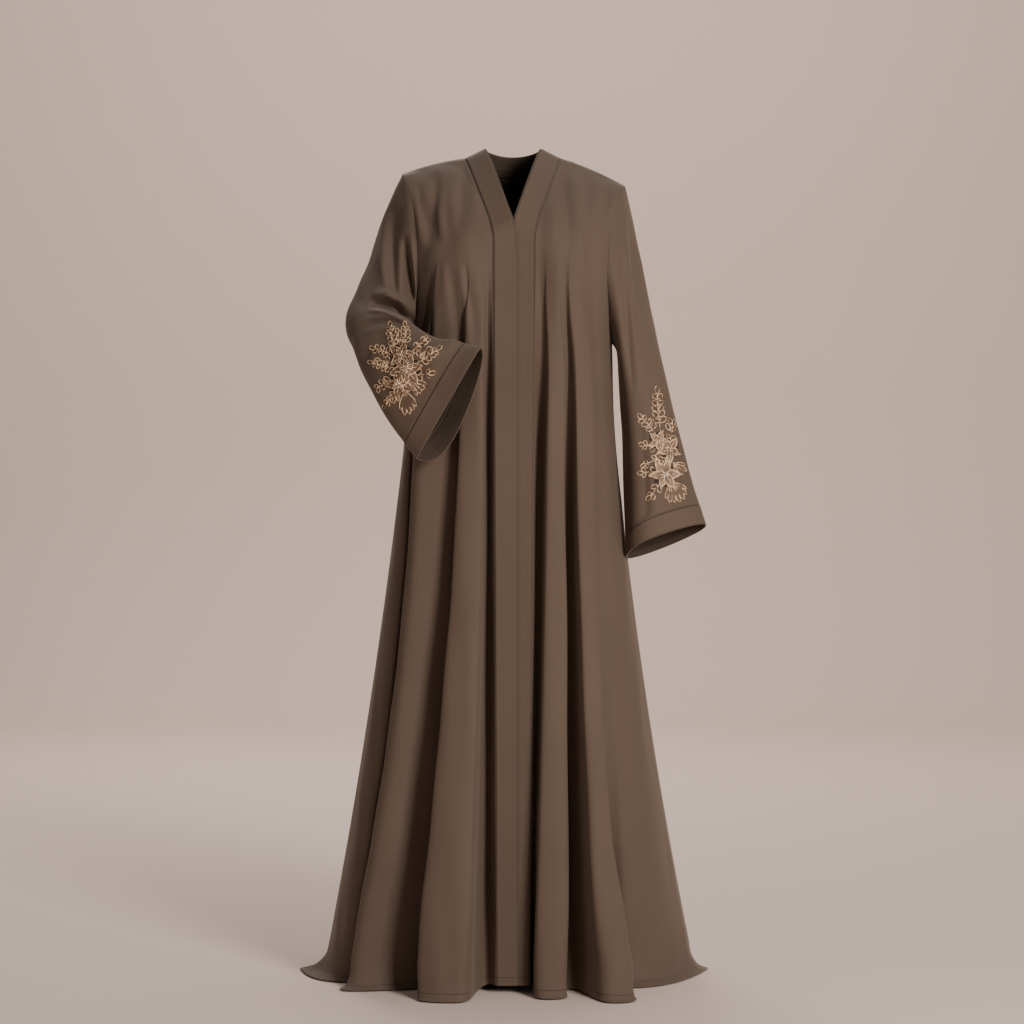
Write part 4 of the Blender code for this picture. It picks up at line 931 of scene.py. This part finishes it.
def spray_parts(spray, noise):
    """The cords, fills, patches of painted shade and beads of a spray: flat lines in millimetres, each
    with its lift.
    """
    cords, fills_and_shades, beads = [], [], []

    def add_petal(start, angle, length, wide, lift, level, **shape):
        ring, rows = petal(np.array(start), angle, length, wide, **shape)
        cords.append((ring, True, lift + OUTLINE_LIFT))
        fills_and_shades.append((rows, lift, level))

    def add_sprig(x, y, angle, length, bend, pairs, leaf):
        t = np.linspace(0, 1, STEM_POINTS)
        aim = angle + bend * t
        step = np.stack([np.cos(np.radians(aim)), np.sin(np.radians(aim))], axis=1)
        stem = np.array([x, y]) + np.cumsum(step, axis=0) * length / STEM_POINTS
        cords.append((stem, False, 0.0))
        for k in range(pairs):
            share = LEAVES_FROM + LEAVES_OVER * k / max(pairs - 1, 1)
            spot = np.array([np.interp(share, t, stem[:, 0]), np.interp(share, t, stem[:, 1])])
            for hand in (-1, 1):
                size = leaf * (LEAF_FOOT - LEAF_LESS * share) * noise.uniform(*LEAF_VARY)
                lean = angle + bend * share + hand * noise.uniform(*LEAF_LEAN)
                add_petal(spot, lean, size, size * LEAF_WIDE, 0.0, 0.0)
        add_petal(stem[-1], aim[-1], leaf * END_LONG, leaf * END_WIDE, 0.0, 0.0)

    def add_fan(x, y, angle, opening, length, loops):
        for k in range(loops):
            side = k / (loops - 1) - 0.5
            size = length * (1 - FAN_LESS * side * side) * noise.uniform(*FAN_VARY)
            add_petal((x, y), angle + side * opening, size, size * FAN_WIDE, FAN_LIFT,
                      FAN_TONE * spray["satin"], early=2.0, point=0.8)

    def add_flower(x, y, radius, petals, turn):
        spot = np.array([x, y], float)
        # dark patches behind the petals: painted shade
        for k in range(petals):
            angle = turn + 360 * (k + 0.5) / petals
            shade = petal(spot, angle, radius * SHADE_LONG, radius * SHADE_WIDE, point=1.2)[1]
            fills_and_shades.append((shade, SHADE_LIFT, SHADE_LEVEL))
        for layer, share in enumerate(spray["layers"]):
            for k in range(petals):
                sway = noise.uniform(-PETAL_SWAY, PETAL_SWAY)
                angle = turn + 360 * (k + 0.5 * layer) / petals + sway
                size = radius * share * noise.uniform(*PETAL_VARY)
                start = spot + turned([[FLOWER_HEART, 0.0]], angle)[0]
                lift = FLOWER_LIFT * (1 + layer) + OVER_LIFT * (k % 2)
                add_petal(start, angle, size, size * PETAL_WIDE, lift, spray["satin"],
                          early=0.72, point=1.25)
                vein = [(VEIN_START, 0.0)] + [(size * along, beside) for along, beside in VEIN_BENDS]
                cords.append((turned(vein, angle) + spot, False, lift + DOME_PETAL))
        for k in range(FLOWER_BEADS):
            angle = turn + 360 * k / FLOWER_BEADS + noise.uniform(-BEAD_SWAY, BEAD_SWAY)
            bead = turned([[noise.uniform(*BEAD_AWAY), 0.0]], angle)[0] + spot
            beads.append((bead, 2 * FLOWER_LIFT + BEAD_LIFT, noise.uniform(*BEAD_SIZE)))
        beads.append((spot, 2 * FLOWER_LIFT + HEART_LIFT, HEART_SIZE))

    for kind, add in (("sprigs", add_sprig), ("fans", add_fan), ("flowers", add_flower)):
        for row in spray[kind]:
            add(*row)
    return cords, fills_and_shades, beads


# ---- meshes --------------------------------------------------------------------------------------
def link_object(name, data):
    """A new object in the scene."""
    thing = bpy.data.objects.new(name, data)
    bpy.context.scene.collection.objects.link(thing)
    return thing


def add_object(name, points, faces, material):
    """A smooth mesh object."""
    mesh = bpy.data.meshes.new(name)
    mesh.from_pydata([tuple(v) for v in points], [], faces)
    mesh.materials.append(material)
    mesh.shade_smooth()
    return link_object(name, mesh)


def grid_quads(rows, columns, closed=False, flip=False):
    """The faces between a grid's points, as numbers of its points."""
    index = np.arange(rows * columns).reshape(rows, columns)
    beside = np.roll(index, -1, axis=1) if closed else index[:, 1:]
    here = index if closed else index[:, :-1]
    quads = np.stack([here[:-1], beside[:-1], beside[1:], here[1:]], axis=-1).reshape(-1, 4)
    return quads[:, ::-1] if flip else quads


def add_map(mesh, name, values):
    """A UV map, from the pair of values at each corner of each face."""
    layer = mesh.uv_layers.new(name=name)
    layer.uv.foreach_set("vector", values.reshape(-1).astype(np.float32))


def add_cloth(name, grid, material, thick, closed=False, flip=False, seam=None):
    """A sheet of cloth on a grid of points above the floor, with its thickness on the inside.

    Its map "near" holds, in metres, how far a point is from the closest side, or from the column
    that is a seam, and how far from the foot.
    """
    quads = grid_quads(*grid.shape[:2], closed, flip)
    points = grid.reshape(-1, 3) - np.array([0, 0, MOUNT_HEIGHT])
    thing = add_object(name, points, quads.tolist(), material)
    wrapped = np.concatenate([grid, grid[:, :1]], axis=1) if closed else grid
    across, rest = lengths(wrapped, 1)
    beside = np.minimum(across, rest)
    if seam is not None:
        beside = np.minimum(beside, np.abs(across - across[:, seam:seam + 1]))
    near = np.stack([beside.ravel(), lengths(wrapped, 0)[1].ravel()], axis=-1)
    add_map(thing.data, "near", near[grid_quads(*wrapped.shape[:2], flip=flip)])
    wall = thing.modifiers.new("thickness", "SOLIDIFY")
    wall.thickness = thick
    wall.offset = -1.0
    wall.use_even_offset = False
    # the inner face of the thickness takes the crepe darkened as painted shade
    thing.data.materials.append(inside_shaded_crepe)
    wall.material_offset = 1
    return thing


def lay_on(tree, centre, flat):
    """Points of the cloth, and its normals there, under flat points in millimetres; None if any
    of them falls beside it."""
    places, sides = [], []
    for x, y in np.asarray(flat).reshape(-1, 2):
        start = Vector((centre[0] + x / 1000, RAY_FROM, centre[1] + y / 1000 - MOUNT_HEIGHT))
        spot, side, _, _ = tree.ray_cast(start, Vector((0, 1, 0)))
        if spot is None or side.y > MISS_SIDE:
            return None
        places.append(spot)
        sides.append(side)
    return np.array(places), np.array(sides)


def finer(line, closed):
    """A flat line with points about CORD_STEP apart."""
    if closed:
        line = np.concatenate([line, line[:1]])
    length = np.linalg.norm(np.diff(line, axis=0), axis=1).sum()
    fine = at_share(line, np.linspace(0, 1, max(int(length / CORD_STEP), 4) + 1))
    return fine[:-1] if closed else fine


def cord_mesh(places, sides, closed, lift):
    """Points and faces of one cord that lies on the cloth."""
    along = np.roll(places, -1, axis=0) - np.roll(places, 1, axis=0)
    if not closed:
        along[0], along[-1] = places[1] - places[0], places[-1] - places[-2]
    across = unit(np.cross(sides, unit(along)))
    rings = []
    for k in range(CORD_SIDES):
        turn = 2 * math.pi * k / CORD_SIDES
        rings.append(places + across * CORD_HALF * math.cos(turn)
                     + sides * (lift + CORD_HIGH / 2 * (1 + math.sin(turn))))
    count = len(places)
    around = np.arange(count * CORD_SIDES).reshape(count, CORD_SIDES)
    faces = []
    for i in range(count if closed else count - 1):
        here, ahead = around[i], around[(i + 1) % count]
        faces += list(zip(here, ahead, np.roll(ahead, -1), np.roll(here, -1)))
    if not closed:
        faces += [tuple(around[0][::-1]), tuple(around[-1])]
    return np.stack(rings, axis=1).reshape(-1, 3), faces


def add_spray(word, spray, sleeve, seed):
    """The cords, the fills with the patches of painted shade, and the beads of a spray, each as one
    piece on the sleeve.
    """
    cloth = bmesh.new()
    cloth.from_mesh(sleeve.data)
    tree = BVHTree.FromBMesh(cloth)
    cloth.free()
    cords, fills_and_shades, beads = spray_parts(spray, np.random.default_rng(seed))
    points, faces = [], []
    for line, closed, lift in cords:
        laid = lay_on(tree, spray["centre"], finer(line, closed))
        if laid is not None:
            ring, quads = cord_mesh(*laid, closed, lift)
            faces += [tuple(int(v) + len(points) for v in quad) for quad in quads]
            points += list(ring)
    made = [add_object(f"spray_cords_{word}", points, faces, cord_thread)]
    points, faces, marks = [], [], []
    for rows, lift, level in fills_and_shades:
        laid = lay_on(tree, spray["centre"], rows)
        if laid is None:
            continue
        spots, sides = laid
        count, wide = rows.shape[:2]
        quads = grid_quads(count, wide)
        faces += (quads + len(points)).tolist()
        across = np.tile(np.linspace(-1, 1, wide), count)
        dome = (DOME_PETAL if level > 0 else DOME_LEAF) * (1 - across ** 2)
        points += list(spots + sides * (lift + FILL_LIFT + dome)[:, None])
        along, beside = (g.ravel() for g in np.mgrid[0:1:count * 1j, 0:1:wide * 1j])
        marks.append(np.stack([stitch_tone_and_highlight(level, along, beside), beside], axis=-1)[quads])
    made.append(add_object(f"spray_fills_and_shades_{word}", points, faces, fill_thread_and_painted_light))
    add_map(made[-1].data, "stitch", np.concatenate(marks))
    balls = bmesh.new()
    for spot, lift, size in beads:
        laid = lay_on(tree, spray["centre"], spot)
        if laid is not None:
            new = bmesh.ops.create_icosphere(balls, subdivisions=2, radius=size)["verts"]
            bmesh.ops.translate(balls, verts=new, vec=Vector(laid[0][0] + laid[1][0] * lift))
    mesh = bpy.data.meshes.new(f"spray_beads_{word}")
    balls.to_mesh(mesh)
    balls.free()
    mesh.materials.append(pearl)
    mesh.shade_smooth()
    made.append(link_object(mesh.name, mesh))
    return made


# ---- materials -----------------------------------------------------------------------------------
CREPE = (0.122, 0.0825, 0.0585)
CREPE_DARK = (0.103, 0.069, 0.048)
INSIDE_SHADE_TONE = 0.45           # painted shade: the cloth's inner face is this much of its outer face's tone
SEAM_WIDE = 0.0011           # half the width of a seam's groove
PUCKER_WIDE = 0.010          # how far puckers reach beside it
HEM_DEEP = 0.014             # the hem's row of stitches above its fold
BAND_STITCH = 0.0022         # a band's row of stitches from its side
CUFF_STITCHES = (CUFF_BAND - 0.001, 0.0012)      # a cuff's two rows above its foot
WEAVE_TONES = (0.86, 1.10)   # the weave's troughs and crowns, as shares of the cloth's tone
GROOVE_SHADE_TONE = 0.62           # and a seam's groove, darkened as painted shade
# the cords' colour by a cloud, dark brown to bright gold: its bright specks are painted glints
CORD_TONES_AND_GLINTS = ((0.36, (0.22, 0.12, 0.062)), (0.58, (1.0, 0.69, 0.43)))
# the lowest stop colours the painted shade behind the flowers; the top stops are reached by the painted
# highlight on petals
STITCH_TONES_WITH_PAINTED_LIGHT = ((0.0, (0.030, 0.019, 0.012)), (0.02, (0.105, 0.066, 0.044)),
                (0.45, (0.17, 0.105, 0.068)), (0.7, (0.40, 0.25, 0.155)), (1.0, (1.0, 0.74, 0.49)))
PEARL_TONES = ((0.4, (0.80, 0.62, 0.42)), (0.6, (1.0, 0.90, 0.76)))


def new_material(name, colour, **values):
    """A material, its node tree and its shader, with the shader's colour and values set."""
    material = bpy.data.materials.new(name)
    material.use_nodes = True
    shader = material.node_tree.nodes["Principled BSDF"]
    shader.inputs["Base Color"].default_value = (*colour, 1)
    for key, value in values.items():
        shader.inputs[key.replace("_", " ")].default_value = value
    return material, material.node_tree, shader


def add_node(tree, kind, values=(), links=(), **settings):
    """A node with its settings, its sockets' values, and links from (node, output) to an input."""
    node = tree.nodes.new("ShaderNode" + kind)
    for key, value in settings.items():
        setattr(node, key, value)
    for key, value in dict(values).items():
        node.inputs[key].default_value = value
    for key, (other, output) in dict(links).items():
        tree.links.new(other.outputs[output], node.inputs[key])
    return node


def texture(tree, kind, place, scale, **values):
    """A texture in the object's own coordinates."""
    settings = {"bands_direction": values.pop("bands")} if "bands" in values else {}
    return add_node(tree, "Tex" + kind, {"Scale": scale, **values}, {"Vector": place}, **settings)


def span(tree, source, start, end, low, high, **settings):
    """Values from start to end of a source mapped to low to high."""
    values = {"From Min": start, "From Max": end, "To Min": low, "To Max": high}
    return add_node(tree, "MapRange", values, {"Value": source}, **settings)


def colour_from(tree, shader, source, stops):
    """The shader's colour from a source, by stops of a position and a colour."""
    ramp = add_node(tree, "ValToRGB", {}, {"Fac": source})
    first, last = ramp.color_ramp.elements
    for stop, (level, colour) in zip((first, last), (stops[0], stops[-1])):
        stop.position = level
        stop.color = (*colour, 1)
    for level, colour in stops[1:-1]:
        ramp.color_ramp.elements.new(level).color = (*colour, 1)
    tree.links.new(ramp.outputs["Color"], shader.inputs["Base Color"])


def bump(tree, source, strength, distance, **links):
    """The normal of a surface that a source raises."""
    values = {"Strength": strength, "Distance": distance}
    return add_node(tree, "Bump", values, {"Height": source, **links}), "Normal"


def math_node(tree, operation, *sources):
    """A number worked out from sources, which are numbers or (node, output)."""
    values = {k: v for k, v in enumerate(sources) if not isinstance(v, tuple)}
    links = {k: v for k, v in enumerate(sources) if isinstance(v, tuple)}
    return add_node(tree, "Math", values, links, operation=operation), "Value"


def line_mask(tree, near, axis, distance, wide):
    """1 on the line at a distance in metres from a piece's side (X) or foot (Y), 0 beside it."""
    away = math_node(tree, "ABSOLUTE", math_node(tree, "SUBTRACT", (near, axis), distance))
    return span(tree, away, 0.0, wide, 1.0, 0.0, interpolation_type="SMOOTHSTEP"), "Result"


def strongest(tree, masks):
    """The greatest of several masks."""
    best = masks[0]
    for mask in masks[1:]:
        best = math_node(tree, "MAXIMUM", best, mask)
    return best


def crepe_material(name, lines, painted_shade_share=1.0):
    """Matt crepe: a pebbly twisted weave, slightly uneven colour and a soft sheen.

    lines are its seams and rows of stitches, as ("X" or "Y", distance from the side or foot in
    metres): each is a fine groove, darkened as painted shade, with puckers beside it. The share of tone
    is below 1 for the inner face, which is darkened as painted shade.
    """
    material, tree, shader = new_material(name, CREPE, Roughness=0.78, Specular_IOR_Level=0.28,
                                          Sheen_Weight=0.22, Sheen_Roughness=0.45,
                                          Sheen_Tint=(0.80, 0.68, 0.56, 1))
    place = (add_node(tree, "TexCoord"), "Object")
    cloud = texture(tree, "Noise", place, 9.0, Detail=3.0)
    grain = texture(tree, "Noise", place, 1500.0, Detail=2.0, Roughness=0.7)
    squeeze = add_node(tree, "Mapping", {"Scale": (700.0, 700.0, 2100.0)}, {"Vector": place})
    weft = texture(tree, "Noise", (squeeze, "Vector"), 1.0, Detail=2.0, Roughness=0.6)
    weave = math_node(tree, "ADD", (grain, "Fac"), (weft, "Fac"))
    # the inner face's copy is darkened by this share: painted shade
    dark, light = (tuple(c * painted_shade_share for c in colour) + (1,) for colour in (CREPE_DARK, CREPE))
    tone = add_node(tree, "Mix", {6: dark, 7: light}, {0: (cloud, "Fac")}, data_type="RGBA")
    near = add_node(tree, "UVMap", uv_map="near")
    near = add_node(tree, "SeparateXYZ", {}, {"Vector": (near, "UV")})
    groove, pull = (strongest(tree, [line_mask(tree, near, *line, wide) for line in lines])
                    for wide in (SEAM_WIDE, PUCKER_WIDE))
    final = (tone, 2)
    # the weave's tone, then the seams' grooves darkened as painted shade
    for shade in (span(tree, weave, 0.6, 1.4, *WEAVE_TONES),
                  span(tree, groove, 0.0, 1.0, 1.0, GROOVE_SHADE_TONE)):
        final = (add_node(tree, "VectorMath", {}, {0: final, 1: (shade, "Result")},
                          operation="MULTIPLY"), "Vector")
    tree.links.new(final[0].outputs["Vector"], shader.inputs["Base Color"])
    waves = texture(tree, "Noise", place, 95.0, Detail=1.0)
    sewn = math_node(tree, "SUBTRACT", math_node(tree, "MULTIPLY", (waves, "Fac"), pull), groove)
    seams = bump(tree, sewn, 0.6, 0.0012)
    node, output = bump(tree, weave, 0.35, 0.00035, Normal=seams)
    tree.links.new(node.outputs[output], shader.inputs["Normal"])
    return material


def thread_material(name, colour, tones, ridges, bands, by_map=False, **values):
    """Silky thread: fine ridges along it, and its tone by a cloud, whose bright specks are painted
    glints, or, for stitches, by its map.
    """
    material, tree, shader = new_material(name, colour, **values)
    place = (add_node(tree, "TexCoord"), "Object")
    if by_map:
        mark = add_node(tree, "UVMap", uv_map="stitch")
        source = (add_node(tree, "SeparateXYZ", {}, {"Vector": (mark, "UV")}), "X")
    else:
        source = (texture(tree, "Noise", place, 170.0, Detail=1.0), "Fac")
    colour_from(tree, shader, source, tones)
    rows = texture(tree, "Wave", place, bands=bands, **ridges)
    node, output = bump(tree, (rows, "Fac"), 0.5, 0.0003)
    tree.links.new(node.outputs[output], shader.inputs["Normal"])
    return material


def pearl_material():
    """Small cream beads, glossy and slightly uneven."""
    material, tree, shader = new_material("cream_beads", (0.95, 0.85, 0.70), Roughness=0.3,
                                          Coat_Weight=0.25)
    place = (add_node(tree, "TexCoord"), "Object")
    colour_from(tree, shader, (texture(tree, "Noise", place, 130.0), "Fac"), PEARL_TONES)
    return material


# ---- the pieces ----------------------------------------------------------------------------------
# the crepe darkened as painted shade, for the cloth's inner face, seen chiefly inside the cuffs
inside_shaded_crepe = crepe_material("crepe_inside_painted_shade", [("X", 0.0), ("Y", HEM_DEEP)], INSIDE_SHADE_TONE)
panel_crepe = crepe_material("crepe_panel", [("X", 0.0), ("Y", HEM_DEEP)])
band_crepe = crepe_material("crepe_band", [("X", 0.0), ("X", BAND_STITCH), ("Y", HEM_DEEP)])
sleeve_crepe = crepe_material("crepe_sleeve", [("Y", 0.0)])
cuff_crepe = crepe_material("crepe_cuff", [("Y", height) for height in CUFF_STITCHES])
cord_thread = thread_material("champagne_cord", (0.62, 0.46, 0.34), CORD_TONES_AND_GLINTS,
                              {"scale": 260.0, "Distortion": 2.0, "Detail": 1.0}, "DIAGONAL",
                              Roughness=0.42, Specular_IOR_Level=0.35)
fill_thread_and_painted_light = thread_material("satin_fill_and_painted_light", (0.24, 0.15, 0.10), STITCH_TONES_WITH_PAINTED_LIGHT,
                              {"scale": 420.0, "Distortion": 1.5}, "X", by_map=True,
                              Roughness=0.5, Specular_IOR_Level=0.3)
pearl = pearl_material()
pieces = {}


def keep(thing, *nodes):
    """A finished cloth piece: it rides on the cloak and stands for its CAD nodes, which are hidden."""
    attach(thing, "root")
    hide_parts(*nodes)
    pieces[thing.name] = thing


back, neck_first, neck_last = back_panel()
lift = (crease_rise(back, BACK_CREASES) + ripple(back, BACK_SEED)) * away_from_edges(back)
back = back + normals(back) * lift[..., None]
keep(add_cloth("back_panel", back, panel_crepe, CLOTH_THICK, seam=back.shape[1] // 2),
     "back_right", "back_left")
band = neck_strip(neck_last - neck_first)
keep(add_cloth("neck_band", band, band_crepe, BAND_THICK), "neck_band_back")
for side, word in ((RIGHT, "right"), (LEFT, "left")):
    front = front_panel(side)
    seam_side = front[:, 0].copy()
    lift = crease_rise(front, BODICE_CREASES[side]) + ripple(front, FRONT_SEED + side)
    front = front + normals(front) * (-side * lift * away_from_edges(front))[..., None]
    keep(add_cloth(f"front_panel_{word}", front, panel_crepe, CLOTH_THICK, flip=side == LEFT),
         f"front_{word}")
    band = band_strip(side, seam_side)
    keep(add_cloth(f"band_{word}", band, band_crepe, BAND_THICK, flip=side == LEFT),
         f"front_band_{word}")
    rings = np.array(sleeve_rings(side, RING_POINTS))
    whole = curve_through(rings, RING_STEPS)
    tube = along_columns(whole, None, CUFF_BAND, SLEEVE_ROWS)
    out = ring_normals(tube, side)
    lift = ripple(tube, SLEEVE_SEED + side)
    lift += crease_rise(tube, SLEEVE_CREASES[side, "front"]) * smooth(-out[..., 1] / CREASE_TURN)
    lift += crease_rise(tube, SLEEVE_CREASES[side, "back"]) * smooth(out[..., 1] / CREASE_TURN)
    inside = away_from_edges(tube, closed=True)
    if side == RIGHT:
        ahead = smooth((ELBOW_TURN - out[..., 1]) / ELBOW_FADE)
        tube[..., 1] -= crease_rise(tube, ELBOW_FOLDS) * ahead * inside
    tube = tube + out * (lift * inside)[..., None]
    keep(add_cloth(f"bell_sleeve_{word}", tube, sleeve_crepe, CLOTH_THICK, closed=True,
                   flip=side == RIGHT), f"sleeve_{word}_upper", f"sleeve_{word}_lower")
    cuff = along_columns(whole, CUFF_BAND, 0.0, CUFF_ROWS)
    cuff = cuff + ring_normals(cuff, side) * CUFF_RISE
    keep(add_cloth(f"turned_cuff_{word}", cuff, cuff_crepe, BAND_THICK, closed=True,
                   flip=side == RIGHT), f"cuff_band_{word}")


trims = {}
for side, word in ((RIGHT, "right"), (LEFT, "left")):
    sleeve = pieces[f"bell_sleeve_{word}"]
    trims[sleeve.name] = add_spray(word, SPRAYS[side], sleeve, SPRAY_SEED + side)
    for thing in trims[sleeve.name]:
        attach(thing, "root")


# ---- floor, light and camera ---------------------------------------------------------------------
CAMERA_HEIGHT = 0.848        # above the floor
CAMERA_AWAY = 4.5
CAMERA_SIDE = -0.0018
CAMERA_LENS = 86.9
CAMERA_SENSOR = 36.0
FLOOR_COLOUR = (0.86, 0.69, 0.595)
FLOOR_NEAR, FLOOR_HALF = -9.0, 10.0
WALL_AWAY, WALL_HIGH, WALL_BEND = 6.6, 6.0, 1.4
AIR_COLOUR = (0.80, 0.76, 0.73, 1)
AIR_STRENGTH = 0.165
# place, what it points at, width and height, watts and colour
LIGHTS = {
    "key": ((2.15, -3.85, 2.0), (0, 0, 0.80), (1.1, 1.5), 190, (1.0, 0.965, 0.93)),
    "fill": ((-3.6, -3.0, 1.5), (0, 0, 0.8), (2.0, 2.4), 12, (1.0, 0.97, 0.95)),
    "top": ((0.3, 0.8, 4.0), (0, 0, 0.9), (2.5, 2.0), 26, (1.0, 0.98, 0.96)),
    "wall": ((0, 2.8, 4.6), (0, 6.6, 1.2), (5.0, 1.2), 130, (1.0, 0.96, 0.92)),
    "back": ((-1.2, 4.2, 4.2), (0, 0, 0.9), (2.0, 2.0), 70, (1.0, 0.97, 0.94)),
}


def add_stage():
    """A pale floor that turns up into a wall far behind."""
    line = [(FLOOR_NEAR, 0.0), (WALL_AWAY - WALL_BEND, 0.0)]
    line += [(WALL_AWAY - WALL_BEND + WALL_BEND * math.sin(a), WALL_BEND - WALL_BEND * math.cos(a))
             for a in np.linspace(0, math.pi / 2, 24)[1:]]
    line.append((WALL_AWAY, WALL_HIGH))
    points = [(x, y, z - MOUNT_HEIGHT) for y, z in line for x in (-FLOOR_HALF, FLOOR_HALF)]
    faces = [(2 * k, 2 * k + 1, 2 * k + 3, 2 * k + 2) for k in range(len(line) - 1)]
    material, _, _ = new_material("studio", FLOOR_COLOUR, Roughness=0.85)
    add_object("studio_floor", points, faces, material)


def add_light(name, spot, aim, size, power, colour):
    """A rectangular lamp, placed and aimed by heights above the floor."""
    lamp = bpy.data.lights.new(name, "AREA")
    lamp.shape = "RECTANGLE"
    lamp.size, lamp.size_y = size
    lamp.energy = power
    lamp.color = colour
    thing = link_object(name, lamp)
    thing.location = (spot[0], spot[1], spot[2] - MOUNT_HEIGHT)
    ray = np.array(aim, float) - np.array(spot, float)
    level = math.hypot(ray[0], ray[1])
    thing.rotation_euler = (math.atan2(level, -ray[2]), 0, math.atan2(-ray[0], ray[1]))


add_stage()
for name, light in LIGHTS.items():
    add_light(name, *light)
world = bpy.data.worlds.new("studio_air")
world.use_nodes = True
world.node_tree.nodes["Background"].inputs["Color"].default_value = AIR_COLOUR
world.node_tree.nodes["Background"].inputs["Strength"].default_value = AIR_STRENGTH
bpy.context.scene.world = world

camera = link_object("camera", bpy.data.cameras.new("camera"))
camera.data.lens = CAMERA_LENS
camera.data.sensor_width = CAMERA_SENSOR
camera.location = (CAMERA_SIDE, -CAMERA_AWAY, CAMERA_HEIGHT - MOUNT_HEIGHT)
camera.rotation_euler = (math.pi / 2, 0, 0)
bpy.context.scene.camera = camera
